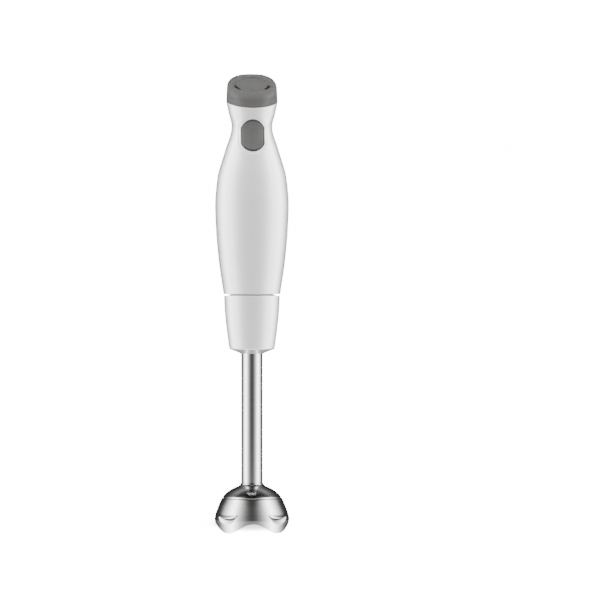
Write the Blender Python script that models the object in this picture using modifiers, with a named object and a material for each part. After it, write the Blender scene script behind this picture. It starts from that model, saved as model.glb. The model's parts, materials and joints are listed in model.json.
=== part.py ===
"""Immersion blender: a two-shell motor handle, a screw-on steel foot and the drive between them.

The blender stands upright on the four lobes of its bell. The origin is on the drive axis at the
level of the lobes, +Z runs up the axis and -Y is the front, where the power button is.
Every length below is in millimetres, and the shape makers scale it to Blender's metres.
"""

import math

import bmesh
import bpy
from mathutils import Matrix, Vector

MM = 0.001
GAP = 0.3  # clearance between pieces that touch or turn in each other

# Steel foot
TUBE_R, TUBE_WALL = 9.1, 1.0
TUBE_LOW, TUBE_HIGH = 41.8, 178.2
SHEET = 1.0  # steel thickness of the bell
LOBES = 4
LOBE_RISE = 4.27  # half of the height from a lobe's foot to the arch beside it
LOBE_FLAT = 0.45  # cut off each lobe's foot, which leaves it a small flat to stand on
BELL_SHOULDER = [(41.5, 9.5), (40.0, 10.0), (38.2, 12.4), (35.4, 18.8), (32.6, 23.4), (30.6, 24.9)]
BELL_SKIRT = [(22.4, 28.6), (17.0, 30.5), (11.0, 31.8), (6.0, 31.2), (1.2, 30.3), (0.0, 30.3)]

# Foot collar and the screw joint
COLLAR_TOP = 200.8
COLLAR_OUTSIDE = [(200.8, 23.7), (189.0, 23.3), (179.0, 22.5), (167.0, 20.9), (155.8, 19.3)]
COLLAR_BORE = 20.7
HUB_R, HUB_TOP = 12.0, 184.0
SPIGOT_R, SPIGOT_WALL, SPIGOT_LOW = 18.5, 2.2, 187.0
THREAD_STARTS, THREAD_LEAD = 3, 15.0
THREAD_HALF_HEIGHT = 0.8
RIDGE_SWEEP, LUG_SWEEP = 150.0, 30.0
RIDGE_START_Z = 188.6
LUG_ANGLE = 110.0  # how far up its ridge each lug sits when the foot is screwed home

# Handle: height, half width, front depth and rear depth of its sections
HANDLE = [
    (201.3, 24.1, 24.1, 24.1),
    (230.0, 28.25, 28.1, 28.1),
    (256.0, 30.55, 30.1, 30.2),
    (277.0, 31.35, 30.6, 30.8),
    (299.0, 29.65, 28.8, 29.8),
    (324.0, 22.8, 24.0, 26.4),
    (344.0, 17.3, 20.4, 23.0),
    (356.0, 20.0, 20.6, 22.2),
    (365.2, 21.9, 21.6, 22.3),
]
WALL = 2.2
SEAM_TILT = math.radians(13)  # the cap's lower edge drops towards the front
SEAM_BOW = 1.85  # and curves further down by this much at the very front
TILT_START = 325.0  # below this height the sections are level

# Cap
CAP_Z = HANDLE[-1][0] + GAP
CAP_SIDE_Z, CAP_TOP_Z = 376.5, 381.4
CAP_TILT = math.radians(26)
CAP_EDGE_R = CAP_TOP_Z - CAP_SIDE_Z
CAP_ROOF = 5.2
DISH_R, SLOT_INNER_R = 16.0, 13.2
DISH_FORWARD = 3.0  # the dish sits this far down the sloping top
SLOT_STARTS, SLOT_SWEEP = (181.0, 314.0), 45.0
GLAND_Z, GLAND_BORE_R = 377.5, 3.5

# Power button
BUTTON_Z = 335.3
BUTTON_HALF_WIDTH, BUTTON_ARC_R, BUTTON_ARC_OFFSET = 10.1, 11.1, 2.3
BUTTON_GAP = 1.0
BUTTON_FLANGE_Y = (-11.9, -10.3)

# Motor
STATOR_R, STATOR_LOW, STATOR_HIGH = 24.0, 243.0, 273.0
BORE_R, COIL_SLOT_R = 13.4, 19.0
ROTOR_R, ROTOR_SLOTS = 12.9, 12
MOTOR_SHAFT_R = 2.5
BRACKET_R, BRACKET_WALL = 23.2, 1.5
BOLT_R, BOLT_CIRCLE_R = 1.5, 19.8
BRUSH_Z = 288.5

# Blade shaft
SHAFT_R = 3.0
BLADE_Z = 15.0
COUPLING_CORE_R, COUPLING_ARM_R, COUPLING_ARM_HALF = 5.2, 8.2, 1.8

BUTTON_TURN = Matrix.Rotation(math.radians(90), 4, "X")  # local Z looks along -Y

for leftover in list(bpy.data.objects):
    bpy.data.objects.remove(leftover)
PARTS = bpy.data.collections.new("immersion_blender")
CUTTERS = bpy.data.collections.new("cutters")
for group in (PARTS, CUTTERS):
    bpy.context.scene.collection.children.link(group)


def look(name, colour, roughness, metallic=0.0):
    material = bpy.data.materials.new(name)
    material.use_nodes = True
    shader = material.node_tree.nodes["Principled BSDF"]
    shader.inputs["Base Color"].default_value = (*colour, 1)
    shader.inputs["Roughness"].default_value = roughness
    shader.inputs["Metallic"].default_value = metallic
    material.diffuse_color = (*colour, 1)
    return material


WHITE = look("white_plastic", (0.82, 0.82, 0.82), 0.18)
GREY = look("grey_plastic", (0.19, 0.185, 0.18), 0.4)
STEEL = look("polished_steel", (0.62, 0.62, 0.62), 0.15, 1)
BRUSHED = look("brushed_steel", (0.55, 0.55, 0.55), 0.32, 1)
RUBBER = look("black_rubber", (0.02, 0.02, 0.02), 0.7)
BLACK = look("black_plastic", (0.03, 0.03, 0.03), 0.45)
COPPER = look("copper_wire", (0.72, 0.27, 0.12), 0.35, 1)
BRASS = look("brass", (0.72, 0.52, 0.22), 0.35, 1)
IRON = look("lamination_iron", (0.25, 0.25, 0.27), 0.5, 1)
CARBON = look("carbon", (0.04, 0.04, 0.045), 0.6)
BOARD = look("board_green", (0.03, 0.18, 0.07), 0.5)
AMBER = look("amber_resin", (0.65, 0.32, 0.04), 0.35)
NATURAL = look("natural_nylon", (0.72, 0.7, 0.64), 0.4)


# ---------------------------------------------------------------- shape makers


def axis_empty(name, at=(0, 0, 0)):
    empty = bpy.data.objects.new(name, None)
    empty.location = Vector(at) * MM
    PARTS.objects.link(empty)
    return empty


def add(name, mesh, material, parent=None, cutter=False):
    obj = bpy.data.objects.new(name, mesh)
    if cutter:
        obj.hide_render = True
        obj.display_type = "WIRE"
        CUTTERS.objects.link(obj)
        return obj
    mesh.materials.append(material)
    PARTS.objects.link(obj)
    obj.parent = parent
    if parent:
        obj.matrix_parent_inverse = Matrix.Translation(-parent.location)
    return obj


def finish_mesh(name, bm, turn=None):
    bmesh.ops.recalc_face_normals(bm, faces=bm.faces)
    bmesh.ops.scale(bm, vec=(MM, MM, MM), verts=bm.verts)
    if turn is not None:
        bmesh.ops.transform(bm, matrix=turn, verts=bm.verts)
    mesh = bpy.data.meshes.new(name)
    bm.to_mesh(mesh)
    bm.free()
    mesh.shade_smooth()
    mesh.set_sharp_from_angle(angle=math.radians(35))
    return mesh


def loft(name, rings, material, parent=None, cutter=False, capped=True):
    """A skin over closed rings of equal point counts, with both ends capped."""
    bm = bmesh.new()
    rows = [[bm.verts.new(point) for point in ring] for ring in rings]
    for low, high in zip(rows, rows[1:]):
        for i, corner in enumerate(low):
            j = (i + 1) % len(low)
            bm.faces.new((corner, low[j], high[j], high[i]))
    if capped:
        bm.faces.new(rows[0])
        bm.faces.new(rows[-1])
    return add(name, finish_mesh(name, bm), material, parent, cutter)


def turned(name, profile, material, steps=32, parent=None, cutter=False, turn=None):
    """A solid of revolution about Z. The (radius, height) profile runs down its outer side, and it is
    closed unless it starts and ends on the axis."""
    mesh = bpy.data.meshes.new(name)
    count = len(profile)
    on_axis = profile[0][0] == 0 and profile[-1][0] == 0
    edges = [(i, (i + 1) % count) for i in range(count - on_axis)]
    mesh.from_pydata([(r * MM, 0, z * MM) for r, z in profile], edges, [])
    obj = add(name, mesh, material, parent, cutter)
    if turn is not None:
        obj.matrix_basis = turn
    screw = obj.modifiers.new("Turn", "SCREW")
    screw.steps = screw.render_steps = steps
    screw.use_merge_vertices = True
    screw.merge_threshold = 0.00001
    return obj


def sleeve(inner, outer, low, high, bevel=0.0):
    """Profile of a ring or tube, with its outer edges bevelled."""
    return [
        (inner, high),
        (outer - bevel, high),
        (outer, high - bevel),
        (outer, low + bevel),
        (outer - bevel, low),
        (inner, low),
    ] if bevel else [(inner, high), (outer, high), (outer, low), (inner, low)]


def rod(radius, low, high, bevel=0.3):
    """Profile of a solid rod with bevelled ends."""
    return [(0, high), (radius - bevel, high), (radius, high - bevel),
            (radius, low + bevel), (radius - bevel, low), (0, low)]


def extruded(name, outline, low, high, material, parent=None, cutter=False, turn=None):
    """A prism over a flat (x, y) outline, from low to high along Z, then turned and placed."""
    bm = bmesh.new()
    face = bm.faces.new([bm.verts.new((x, y, low)) for x, y in outline])
    risen = bmesh.ops.extrude_face_region(bm, geom=[face])
    verts = [item for item in risen["geom"] if isinstance(item, bmesh.types.BMVert)]
    bmesh.ops.translate(bm, vec=(0, 0, high - low), verts=verts)
    return add(name, finish_mesh(name, bm, turn), material, parent, cutter)


def block(name, low, high, material, bevel=0.0, parent=None, cutter=False):
    """A box between two corners, with its edges bevelled."""
    bm = bmesh.new()
    size = Vector(high) - Vector(low)
    centre = (Vector(high) + Vector(low)) / 2
    bmesh.ops.create_cube(bm, size=1, matrix=Matrix.Translation(centre) @ Matrix.Diagonal((*size, 1)))
    obj = add(name, finish_mesh(name, bm), material, parent, cutter)
    if bevel:
        edge = obj.modifiers.new("Edges", "BEVEL")
        edge.width = bevel * MM
        edge.segments = 1
    return obj


def wire(name, points, radius, material, cyclic=False, detail=1, parent=None):
    """A round wire through the points."""
    curve = bpy.data.curves.new(name, "CURVE")
    curve.dimensions = "3D"
    curve.bevel_depth = radius * MM
    curve.bevel_resolution = detail
    curve.use_fill_caps = True
    spline = curve.splines.new("POLY")
    spline.points.add(len(points) - 1)
    for slot, point in zip(spline.points, points):
        slot.co = (*(Vector(point) * MM), 1)
    spline.use_cyclic_u = cyclic
    return add(name, curve, material, parent)


def hex_nut(name, bore, corner_radius, low, high, parent, turn):
    outline = [(corner_radius * math.cos(a), corner_radius * math.sin(a)) for a in full_turn(6)]
    nut = extruded(name, outline, low, high, STEEL, parent, turn=turn)
    boolean(nut, turned(f"{name}_bore", rod(bore, low - 5, high + 5), None, 14, cutter=True, turn=turn))


def boolean(obj, other, operation="DIFFERENCE"):
    step = obj.modifiers.new(other.name, "BOOLEAN")
    step.operation = operation
    step.object = other


# ---------------------------------------------------------------- formulas


def smooth(table, height, column=1):
    """Monotone cubic through the table's (height, value, ...) rows."""
    rows = sorted((row[0], row[column]) for row in table)
    height = min(max(height, rows[0][0]), rows[-1][0])
    slopes = [(b[1] - a[1]) / (b[0] - a[0]) for a, b in zip(rows, rows[1:])]
    tangents = [slopes[0]]
    for before, after in zip(slopes, slopes[1:]):
        flat = before * after <= 0
        tangents.append(0 if flat else 2 * before * after / (before + after))
    tangents.append(slopes[-1])
    for i, (a, b) in enumerate(zip(rows, rows[1:])):
        if height <= b[0]:
            break
    span = b[0] - a[0]
    t = (height - a[0]) / span
    return (
        a[1] * (1 + 2 * t) * (1 - t) ** 2
        + tangents[i] * span * t * (1 - t) ** 2
        + b[1] * t * t * (3 - 2 * t)
        - tangents[i + 1] * span * t * t * (1 - t)
    )


def oval(angle, half_width, front, rear, power=2.0):
    """A point of a superellipse whose front (-Y) and rear depths differ."""
    c, s = math.cos(angle), math.sin(angle)
    x = math.copysign(abs(c) ** (2 / power), c) * half_width
    y = math.copysign(abs(s) ** (2 / power), s) * (rear if s > 0 else front)
    return x, y


def ease(share):
    """Rises smoothly from 0 to 1."""
    share = min(max(share, 0), 1)
    return share * share * (3 - 2 * share)


def seam_bow(y):
    """How far the seam lies below its plane, which is only in front of the middle."""
    return SEAM_BOW * (min(y, 0) / HANDLE[-1][2]) ** 2


def handle_ring(height, grow, angles):
    """A section of the handle, sheared near the top so that the last one lies in the cap's seam."""
    half_width, front, rear = (smooth(HANDLE, height, column) + grow for column in (1, 2, 3))
    tilt = ease((height - TILT_START) / (HANDLE[-1][0] - TILT_START))
    ring = []
    for angle in angles:
        x, y = oval(angle, half_width, front, rear)
        ring.append((x, y, height + (y * math.tan(SEAM_TILT) - seam_bow(y)) * tilt))
    return ring


def handle_heights(count):
    """Section heights, closer together round the waist."""
    low, high = HANDLE[0][0], HANDLE[-1][0]
    return [low + (high - low) * (1 - (1 - i / count) ** 1.25) for i in range(count + 1)]


def full_turn(count):
    return [2 * math.pi * i / count for i in range(count)]


def button_outline(grow, corners=7):
    """The button's outline about its own centre: an arc above and below, with straight sides."""
    radius = BUTTON_ARC_R + grow
    reach = math.acos((BUTTON_HALF_WIDTH + grow) / radius)
    outline = []
    for side in (1, -1):
        for i in range(corners + 1):
            angle = reach + (math.pi - 2 * reach) * i / corners
            along = radius * math.cos(angle)
            up = radius * math.sin(angle) + BUTTON_ARC_OFFSET
            outline.append((side * along, side * up))
    return outline


def ring_sector(inner, outer, start, sweep, count=16):
    """Outline of part of a flat ring, with angles in degrees."""
    steps = [math.radians(start + sweep * i / count) for i in range(count + 1)]
    outside = [(outer * math.cos(a), outer * math.sin(a)) for a in steps]
    inside = [(inner * math.cos(a), inner * math.sin(a)) for a in reversed(steps)]
    return outside + inside


def helical_ridge(name, inner, outer, start, sweep, low, count, cutter=True):
    """A thread ridge: it climbs THREAD_LEAD in each turn, and its flanks taper towards outer."""
    rings = []
    half = THREAD_HALF_HEIGHT
    tip = half * 0.6
    for i in range(count + 1):
        turn = sweep * i / count
        angle = math.radians(start + turn)
        z = low + THREAD_LEAD * turn / 360
        rings.append([(r * math.cos(angle), r * math.sin(angle), z + dz)
                      for r, dz in ((inner, -half), (outer, -tip), (outer, tip), (inner, half))])
    return loft(name, rings, None, cutter=cutter)


def along_y(x, z):
    """Places a shape made about Z so that its axis runs along Y through (x, z), local Z towards +Y."""
    return Matrix.Translation(Vector((x, 0, z)) * MM) @ Matrix.Rotation(math.radians(-90), 4, "X")


# ---------------------------------------------------------------- handle


def handle_solid(name, grow, sections=13):
    rings = [handle_ring(z, grow, full_turn(28)) for z in handle_heights(sections)]
    return loft(name, rings, None, cutter=True)


def half_shell(name, front):
    """One half of the housing: its outer face and its inner face, joined along the split line."""
    start = math.pi if front else 0
    angles = [start + math.pi * i / 14 for i in range(15)]
    shift = -GAP / 2 if front else GAP / 2
    rings = []
    for height in handle_heights(13):
        ring = handle_ring(height, 0, angles) + handle_ring(height, -WALL, angles[::-1])
        rings.append([(x, y + shift, z) for x, y, z in ring])
    return loft(name, rings, WHITE, handle)


def make_shells():
    front_shell = half_shell("front_shell", True)
    place = Matrix.Translation((0, 0, BUTTON_Z * MM)) @ BUTTON_TURN
    hole = extruded("button_hole", button_outline(0), 10, 40, None, cutter=True, turn=place)
    boolean(front_shell, hole)
    rear_shell = half_shell("rear_shell", False)
    for i in range(5):
        z = 221.0 + 4.2 * i
        boolean(rear_shell, block(f"vent_{i}", (-9, 15, z), (9, 40, z + 1.8), None, cutter=True))
    for label, z in (("upper", 349.5), ("lower", 312.0)):
        reach = smooth(HANDLE, z, 3) - WALL / 2
        post = turned(f"{label}_post", sleeve(1.3, 3.0, 7.2, reach), None, 16, cutter=True,
                      turn=along_y(0, z))
        boolean(rear_shell, post, "UNION")


def cap_ring(level, height, grow=0.0, edge=0.0):
    """A section of the cap. level runs from 0 at the seam to 1 at the rim, where the slope is CAP_TILT."""
    half_width = HANDLE[-1][1] - 0.5 * level + grow - edge
    front = HANDLE[-1][2] + 1.2 * level + grow - edge
    rear = HANDLE[-1][3] - 0.5 * level + grow - edge
    tilt = SEAM_TILT + (CAP_TILT - SEAM_TILT) * level
    ring = []
    for angle in full_turn(32):
        x, y = oval(angle, half_width, front, rear, 2 + 0.45 * level)
        ring.append((x, y, height + y * math.tan(tilt) - seam_bow(y) * (1 - level)))
    return ring


def make_cap():
    rings = [cap_ring(1, CAP_TOP_Z - CAP_ROOF, -WALL, 1.0), cap_ring(1, CAP_TOP_Z - CAP_ROOF - 1, -WALL)]
    rings += [cap_ring(0, CAP_Z, -WALL), cap_ring(0, CAP_Z)]
    rings += [cap_ring(level, CAP_Z + (CAP_SIDE_Z - CAP_Z) * level) for level in (0.4, 1)]
    for step in (30, 60, 90):
        angle = math.radians(step)
        inset = CAP_EDGE_R * (1 - math.cos(angle))
        rings.append(cap_ring(1, CAP_SIDE_Z + CAP_EDGE_R * math.sin(angle), edge=inset))
    cap = loft("top_cap", rings, GREY, handle)
    top = Matrix.Translation(Vector((0, 0, CAP_TOP_Z)) * MM) @ Matrix.Rotation(CAP_TILT, 4, "X")
    top = top @ Matrix.Translation((0, -DISH_FORWARD * MM, 0))
    dish = [(0, 5), (DISH_R + 1.0, 5), (DISH_R + 1.0, 0.2), (DISH_R + 0.2, -0.3), (DISH_R, -0.8),
            (SLOT_INNER_R, -1.2), (7.0, -1.6), (0, -1.8)]
    boolean(cap, turned("dish", dish, None, 32, cutter=True, turn=top))
    for start in SLOT_STARTS:
        slot = ring_sector(SLOT_INNER_R, DISH_R - 0.05, start, SLOT_SWEEP, 8)
        boolean(cap, extruded(f"air_slot_{start:.0f}", slot, -12, -0.5, None, cutter=True, turn=top))
    boolean(cap, turned("gland_hole", rod(GLAND_BORE_R + 1.2, 10, 30), None, 24, cutter=True,
                        turn=along_y(0, GLAND_Z)))
    boolean(cap, turned("gland_seat", rod(6.0, 21.2, 30), None, 24, cutter=True, turn=along_y(0, GLAND_Z)))
    gland = [(GLAND_BORE_R, 24.8), (4.4, 24.8), (5.0, 24.2), (5.6, 23.2), (5.6, 21.5), (4.4, 21.5),
             (4.4, 18.4), (5.1, 18.0), (4.9, 16.2), (GLAND_BORE_R, 16.2)]
    turned("cord_gland", gland, RUBBER, 14, handle, turn=along_y(0, GLAND_Z))


def make_spigot():
    inner = SPIGOT_R - SPIGOT_WALL
    profile = [(inner, 204.6), (21.3, 204.6), (21.3, 201.6), (SPIGOT_R, 201.6),
               (SPIGOT_R, SPIGOT_LOW + 0.6), (SPIGOT_R - 0.6, SPIGOT_LOW), (inner, SPIGOT_LOW)]
    spigot = turned("drive_spigot", profile, NATURAL, 28, handle)
    for i in range(THREAD_STARTS):
        ridge = helical_ridge(f"thread_ridge_{i}", SPIGOT_R - 0.7, COLLAR_BORE - 0.5,
                              360 / THREAD_STARTS * i, RIDGE_SWEEP, RIDGE_START_Z, 11)
        boolean(spigot, ridge, "UNION")


def make_button():
    place = Matrix.Translation((0, 0, BUTTON_Z * MM)) @ BUTTON_TURN
    flange_front, flange_back = (-y for y in BUTTON_FLANGE_Y)
    button = extruded("power_button", button_outline(-BUTTON_GAP), flange_back + 0.8, 40, GREY,
                      button_slide, turn=place)
    boolean(button, handle_solid("button_face", 0.4), "INTERSECT")
    flange = extruded("button_flange", button_outline(0.6), flange_back, flange_front, None, cutter=True,
                      turn=place)
    boolean(button, flange, "UNION")
    seal = extruded("button_seal", button_outline(-0.25), 15, 40, RUBBER, handle, turn=place)
    boolean(seal, extruded("seal_bore", button_outline(-0.75), 5, 45, None, cutter=True, turn=place))
    boolean(seal, handle_solid("seal_face", -0.7), "INTERSECT")


def make_switch():
    body = block("switch_body", (-6.5, -1.2, 326), (6.5, 4.7, 347), BLACK, 0.4, handle)
    boolean(body, turned("plunger_hole", rod(2.3, -5, 3.2), None, 16, cutter=True, turn=along_y(0, 332)))
    turned("switch_plunger", rod(2.0, -10.0, 0.3), NATURAL, 16, plunger_slide, turn=along_y(0, 332))
    spring_turns, per_turn = 5, 8
    low, high = -9.7, -1.85
    coil = []
    for i in range(spring_turns * per_turn + 1):
        angle = 2 * math.pi * i / per_turn
        y = low + (high - low) * i / (spring_turns * per_turn)
        coil.append((2.3 * math.cos(angle), y, 342 + 2.3 * math.sin(angle)))
    wire("button_spring", coil, 0.3, STEEL, detail=0, parent=handle)


def make_board():
    board = block("circuit_board", (-12, 5.0, 309), (12, 6.6, 352), BOARD, parent=handle)
    for label, z in (("upper", 349.5), ("lower", 312.0)):
        boolean(board, turned(f"{label}_screw_hole", rod(1.4, 3, 9), None, 12, cutter=True,
                              turn=along_y(0, z)))
        screw = [(0, 13), (1.0, 12.4), (1.0, 4.7), (2.4, 4.7), (2.4, 3.9), (1.5, 3.2), (0, 3.2)]
        turned(f"board_screw_{label}", screw, STEEL, 10, handle, turn=along_y(0, z))
    block("suppressor_capacitor", (-11, -4, 315.5), (-3.2, 4.7, 325), AMBER, 0.5, handle)
    for label, x in (("left", 4.4), ("right", 10.0)):
        turned(f"choke_{label}", sleeve(0.9, 2.4, 315, 325, 0.4), COPPER, 14, handle,
               turn=Matrix.Translation(Vector((x, 2.1, 0)) * MM))
    block("rectifier", (2.2, 6.9, 322), (11.2, 9.6, 331), BLACK, 0.3, handle)


# ---------------------------------------------------------------- motor


def stator_opening():
    """Outline of the space inside the stator: the bore between the poles, and the coil slots."""
    outline = []
    for centre in (90, 270):
        for step in range(-46, 47, 23):
            outline.append((BORE_R, centre + step))
        for step in (50, 70, 90, 110, 130):
            outline.append((COIL_SLOT_R, centre + step))
    return [(r * math.cos(math.radians(a)), r * math.sin(math.radians(a))) for r, a in outline]


def rotor_outline():
    """The armature's laminations: teeth with a narrow mouth to each winding slot."""
    outline = []
    pitch = 360 / ROTOR_SLOTS
    for i in range(ROTOR_SLOTS):
        for radius, share in ((ROTOR_R, 0.08), (ROTOR_R, 0.5), (ROTOR_R, 0.92),
                              (ROTOR_R - 3.2, 0.9), (ROTOR_R - 3.2, 1.1)):
            outline.append((radius, pitch * (i + share)))
    return [(r * math.cos(math.radians(a)), r * math.sin(math.radians(a))) for r, a in outline]


def field_coil(name, centre):
    """A saddle coil: its legs lie in the slots and its ends pass over the stator's faces."""
    leg_angle, radius, thick = 63.0, 15.6, 2.0
    low, high = STATOR_LOW - thick - 0.8, STATOR_HIGH + thick + 0.8
    corner, turn = 14.0, 5
    path = []
    for side, end, first in ((1, high, 0), (-1, high, 90), (-1, low, 180), (1, low, 270)):
        middle = end - math.copysign(4.5, end - STATOR_LOW - 1)
        for i in range(turn + 1):
            angle = math.radians(first + 90 * i / turn)
            path.append((side * (leg_angle - corner) + corner * math.cos(angle),
                         middle + 4.5 * math.sin(angle)))
        if side == 1 and end == high or side == -1 and end == low:
            across = [(leg_angle - corner) * (1 - i / 2.5) for i in range(1, 5)]
            path += [(side * sweep, end) for sweep in across]
    points = []
    for sweep, z in path:
        angle = math.radians(centre + sweep)
        points.append((radius * math.cos(angle), radius * math.sin(angle), z))
    return wire(name, points, thick, COPPER, cyclic=True, parent=handle)


def bolt_holes(obj, low, high):
    for label, side in (("front", -1), ("rear", 1)):
        at = Matrix.Translation(Vector((0, side * BOLT_CIRCLE_R, 0)) * MM)
        boolean(obj, turned(f"{obj.name}_{label}_hole", rod(BOLT_R + GAP, low, high), None, 12,
                            cutter=True, turn=at))


def make_stator():
    outline = [(STATOR_R * math.cos(a), STATOR_R * math.sin(a)) for a in full_turn(28)]
    core = extruded("stator_core", outline, STATOR_LOW, STATOR_HIGH, IRON, handle)
    boolean(core, extruded("stator_bore", stator_opening(), STATOR_LOW - 5, STATOR_HIGH + 5, None,
                           cutter=True))
    bolt_holes(core, STATOR_LOW - 5, STATOR_HIGH + 5)
    field_coil("field_coil_front", 270)
    field_coil("field_coil_rear", 90)


def make_brackets():
    skirt = BRACKET_R - BRACKET_WALL
    upper = [(6.8, 306), (9.2, 306), (9.2, 298.5), (BRACKET_R, 298.5), (BRACKET_R, STATOR_HIGH + GAP),
             (skirt, STATOR_HIGH + GAP), (skirt, 296), (6.8, 296)]
    brush_bracket = turned("brush_bracket", upper, BLACK, 22, handle)
    boolean(brush_bracket, block("brush_window", (-30, -4.5, BRUSH_Z - 4.5), (30, 4.5, BRUSH_Z + 4.5), None,
                                 cutter=True))
    boolean(brush_bracket, block("air_window", (-8.3, -30, 277), (8.3, 30, 290), None, cutter=True))
    bolt_holes(brush_bracket, 290, 303)
    lower = [(8.3, 219), (10.5, 219), (10.5, 215.5), (skirt, 215.5), (skirt, STATOR_LOW - GAP),
             (BRACKET_R, STATOR_LOW - GAP), (BRACKET_R, 213), (10.5, 213), (10.5, 208.5), (8.3, 208.5)]
    base_bracket = turned("base_bracket", lower[::-1], BLACK, 20, handle)
    for label, low, high in (("side", (-30, -8, 220), (30, 8, 237)), ("front", (-8, -30, 220), (8, 30, 237))):
        boolean(base_bracket, block(f"{label}_window", low, high, None, cutter=True))
    bolt_holes(base_bracket, 208, 219)
    for label, side in (("front", -1), ("rear", 1)):
        at = Matrix.Translation(Vector((0, side * BOLT_CIRCLE_R, 0)) * MM)
        bolt = [(0, 301.3), (2.6, 300.9), (2.6, 298.8), (BOLT_R, 298.8), (BOLT_R, 209.3), (0, 209.3)]
        turned(f"motor_bolt_{label}", bolt, STEEL, 12, handle, turn=at)
        hex_nut(f"motor_nut_{label}", BOLT_R + GAP, 3.2, 209.8, 212.7, handle, at)


def make_brush_gear():
    for label, side in (("right", 1), ("left", -1)):
        y = 4.2
        low, high = sorted((side * 10.2, side * 25.6))
        holder = block(f"brush_holder_{label}", (low, -y, BRUSH_Z - y), (high, y, BRUSH_Z + y), BRASS,
                       parent=handle)
        low, high = sorted((side * 5.0, side * 24.7))
        bore = block(f"brush_bore_{label}", (low, -3.2, BRUSH_Z - 3.2), (high, 3.2, BRUSH_Z + 3.2), None,
                     cutter=True)
        boolean(holder, bore)
        low, high = sorted((side * 9.35, side * 18.0))
        block(f"carbon_brush_{label}", (low, -2.9, BRUSH_Z - 2.9), (high, 2.9, BRUSH_Z + 2.9), CARBON, 0.3,
              handle)
        coil = []
        turns, per_turn = 3, 7
        for i in range(turns * per_turn + 1):
            angle = 2 * math.pi * i / per_turn
            x = 18.6 + 5.5 * i / (turns * per_turn)
            coil.append((side * x, 1.9 * math.cos(angle), BRUSH_Z + 1.9 * math.sin(angle)))
        wire(f"brush_spring_{label}", coil, 0.25, STEEL, detail=0, parent=handle)
        lead = [(9.2, 3.4, 308.6), (11.5, 3.6, 306.8), (15.0, 4.6, 305.0), (19.0, 6.0, 303.2),
                (23.0, 6.6, 300.4), (25.0, 6.2, 296.4), (25.4, 5.7, 292.6), (25.2, 5.5, 289.5)]
        wire(f"lead_wire_{label}", [(side * x, yy, z) for x, yy, z in lead], 0.8, RUBBER, parent=handle)


def make_bearings():
    turned("upper_bearing", sleeve(MOTOR_SHAFT_R + GAP, 6.5, 299, 305.5, 0.4), BRASS, 16, handle)
    turned("lower_bearing", sleeve(MOTOR_SHAFT_R + GAP, 8.0, 209, 216, 0.5), STEEL, 16, handle)
    turned("upper_damper", sleeve(9.5, 13.0, 299.2, 305.0, 0.8), RUBBER, 16, handle)
    damper = turned("lower_damper", sleeve(16.6, 20.9, 204.9, 212.7), RUBBER, 18, handle)
    for label, side in (("front", -1), ("rear", 1)):
        at = Matrix.Translation(Vector((0, side * BOLT_CIRCLE_R, 0)) * MM)
        boolean(damper, turned(f"damper_pocket_{label}", rod(3.8, 209.0, 216), None, 12, cutter=True,
                               turn=at))


def make_rotor():
    turned("motor_shaft", rod(MOTOR_SHAFT_R, 200.3, 307.6), STEEL, 16, rotor_axis)
    core = extruded("rotor_core", rotor_outline(), 244, 272, IRON, rotor_axis)
    boolean(core, turned("core_bore", rod(MOTOR_SHAFT_R + GAP, 230, 290), None, 16, cutter=True))
    upper = [(2.8, 281.4), (5.0, 281.4), (9.6, 279.6), (11.3, 276.4), (10.8, 272.4), (2.8, 272.4)]
    turned("armature_winding_upper", upper, COPPER, 18, rotor_axis)
    lower = [(2.8, 243.6), (10.8, 243.6), (11.3, 239.6), (9.6, 236.4), (5.0, 234.6), (2.8, 234.6)]
    turned("armature_winding_lower", lower, COPPER, 18, rotor_axis)
    bars = []
    for i in range(ROTOR_SLOTS):
        for radius, share in ((9.0, 0.06), (9.0, 0.5), (9.0, 0.94), (8.2, 0.96), (8.2, 1.04)):
            angle = math.radians(360 / ROTOR_SLOTS * (i + share))
            bars.append((radius * math.cos(angle), radius * math.sin(angle)))
    commutator = extruded("commutator", bars, 281.9, 294.8, COPPER, rotor_axis)
    boolean(commutator, turned("commutator_bore", rod(MOTOR_SHAFT_R + GAP, 270, 300), None, 16, cutter=True))
    hub = [(2.8, 231), (5.0, 231), (5.0, 223.4), (17.3, 223.4), (17.3, 222.2), (2.8, 222.2)]
    fan = turned("cooling_fan", hub, NATURAL, 24, rotor_axis)
    for i in range(8):
        angle = math.radians(45 * i)
        vane = ring_sector(4.4, 16.8, -2.2, 4.4, 1)
        lean = Matrix.Rotation(angle, 4, "Z")
        boolean(fan, extruded(f"vane_{i}", vane, 222.8, 230, None, cutter=True, turn=lean), "UNION")


def cross_outline(grow):
    """The drive's cross: a round core with four arms."""
    core, arm, half = COUPLING_CORE_R + grow, COUPLING_ARM_R + grow, COUPLING_ARM_HALF + grow
    edge = math.asin(half / core)
    outline = []
    for i in range(4):
        middle = math.pi / 2 * i
        for x, y in ((arm, -half), (arm, half)):
            outline.append((x * math.cos(middle) - y * math.sin(middle),
                            x * math.sin(middle) + y * math.cos(middle)))
        start, end = middle + edge, middle + math.pi / 2 - edge
        for step in range(3):
            angle = start + (end - start) * step / 2
            outline.append((core * math.cos(angle), core * math.sin(angle)))
    return outline


def make_motor_coupling():
    coupling = turned("motor_coupling", rod(12.0, 188.5, 207.4, 0.8), NATURAL, 22, rotor_axis)
    boolean(coupling, turned("coupling_shaft_bore", rod(MOTOR_SHAFT_R + GAP, 200.0, 212), None, 16,
                             cutter=True))
    boolean(coupling, extruded("coupling_socket", cross_outline(0.4), 180, 198.8, None, cutter=True))


# ---------------------------------------------------------------- foot


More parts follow.
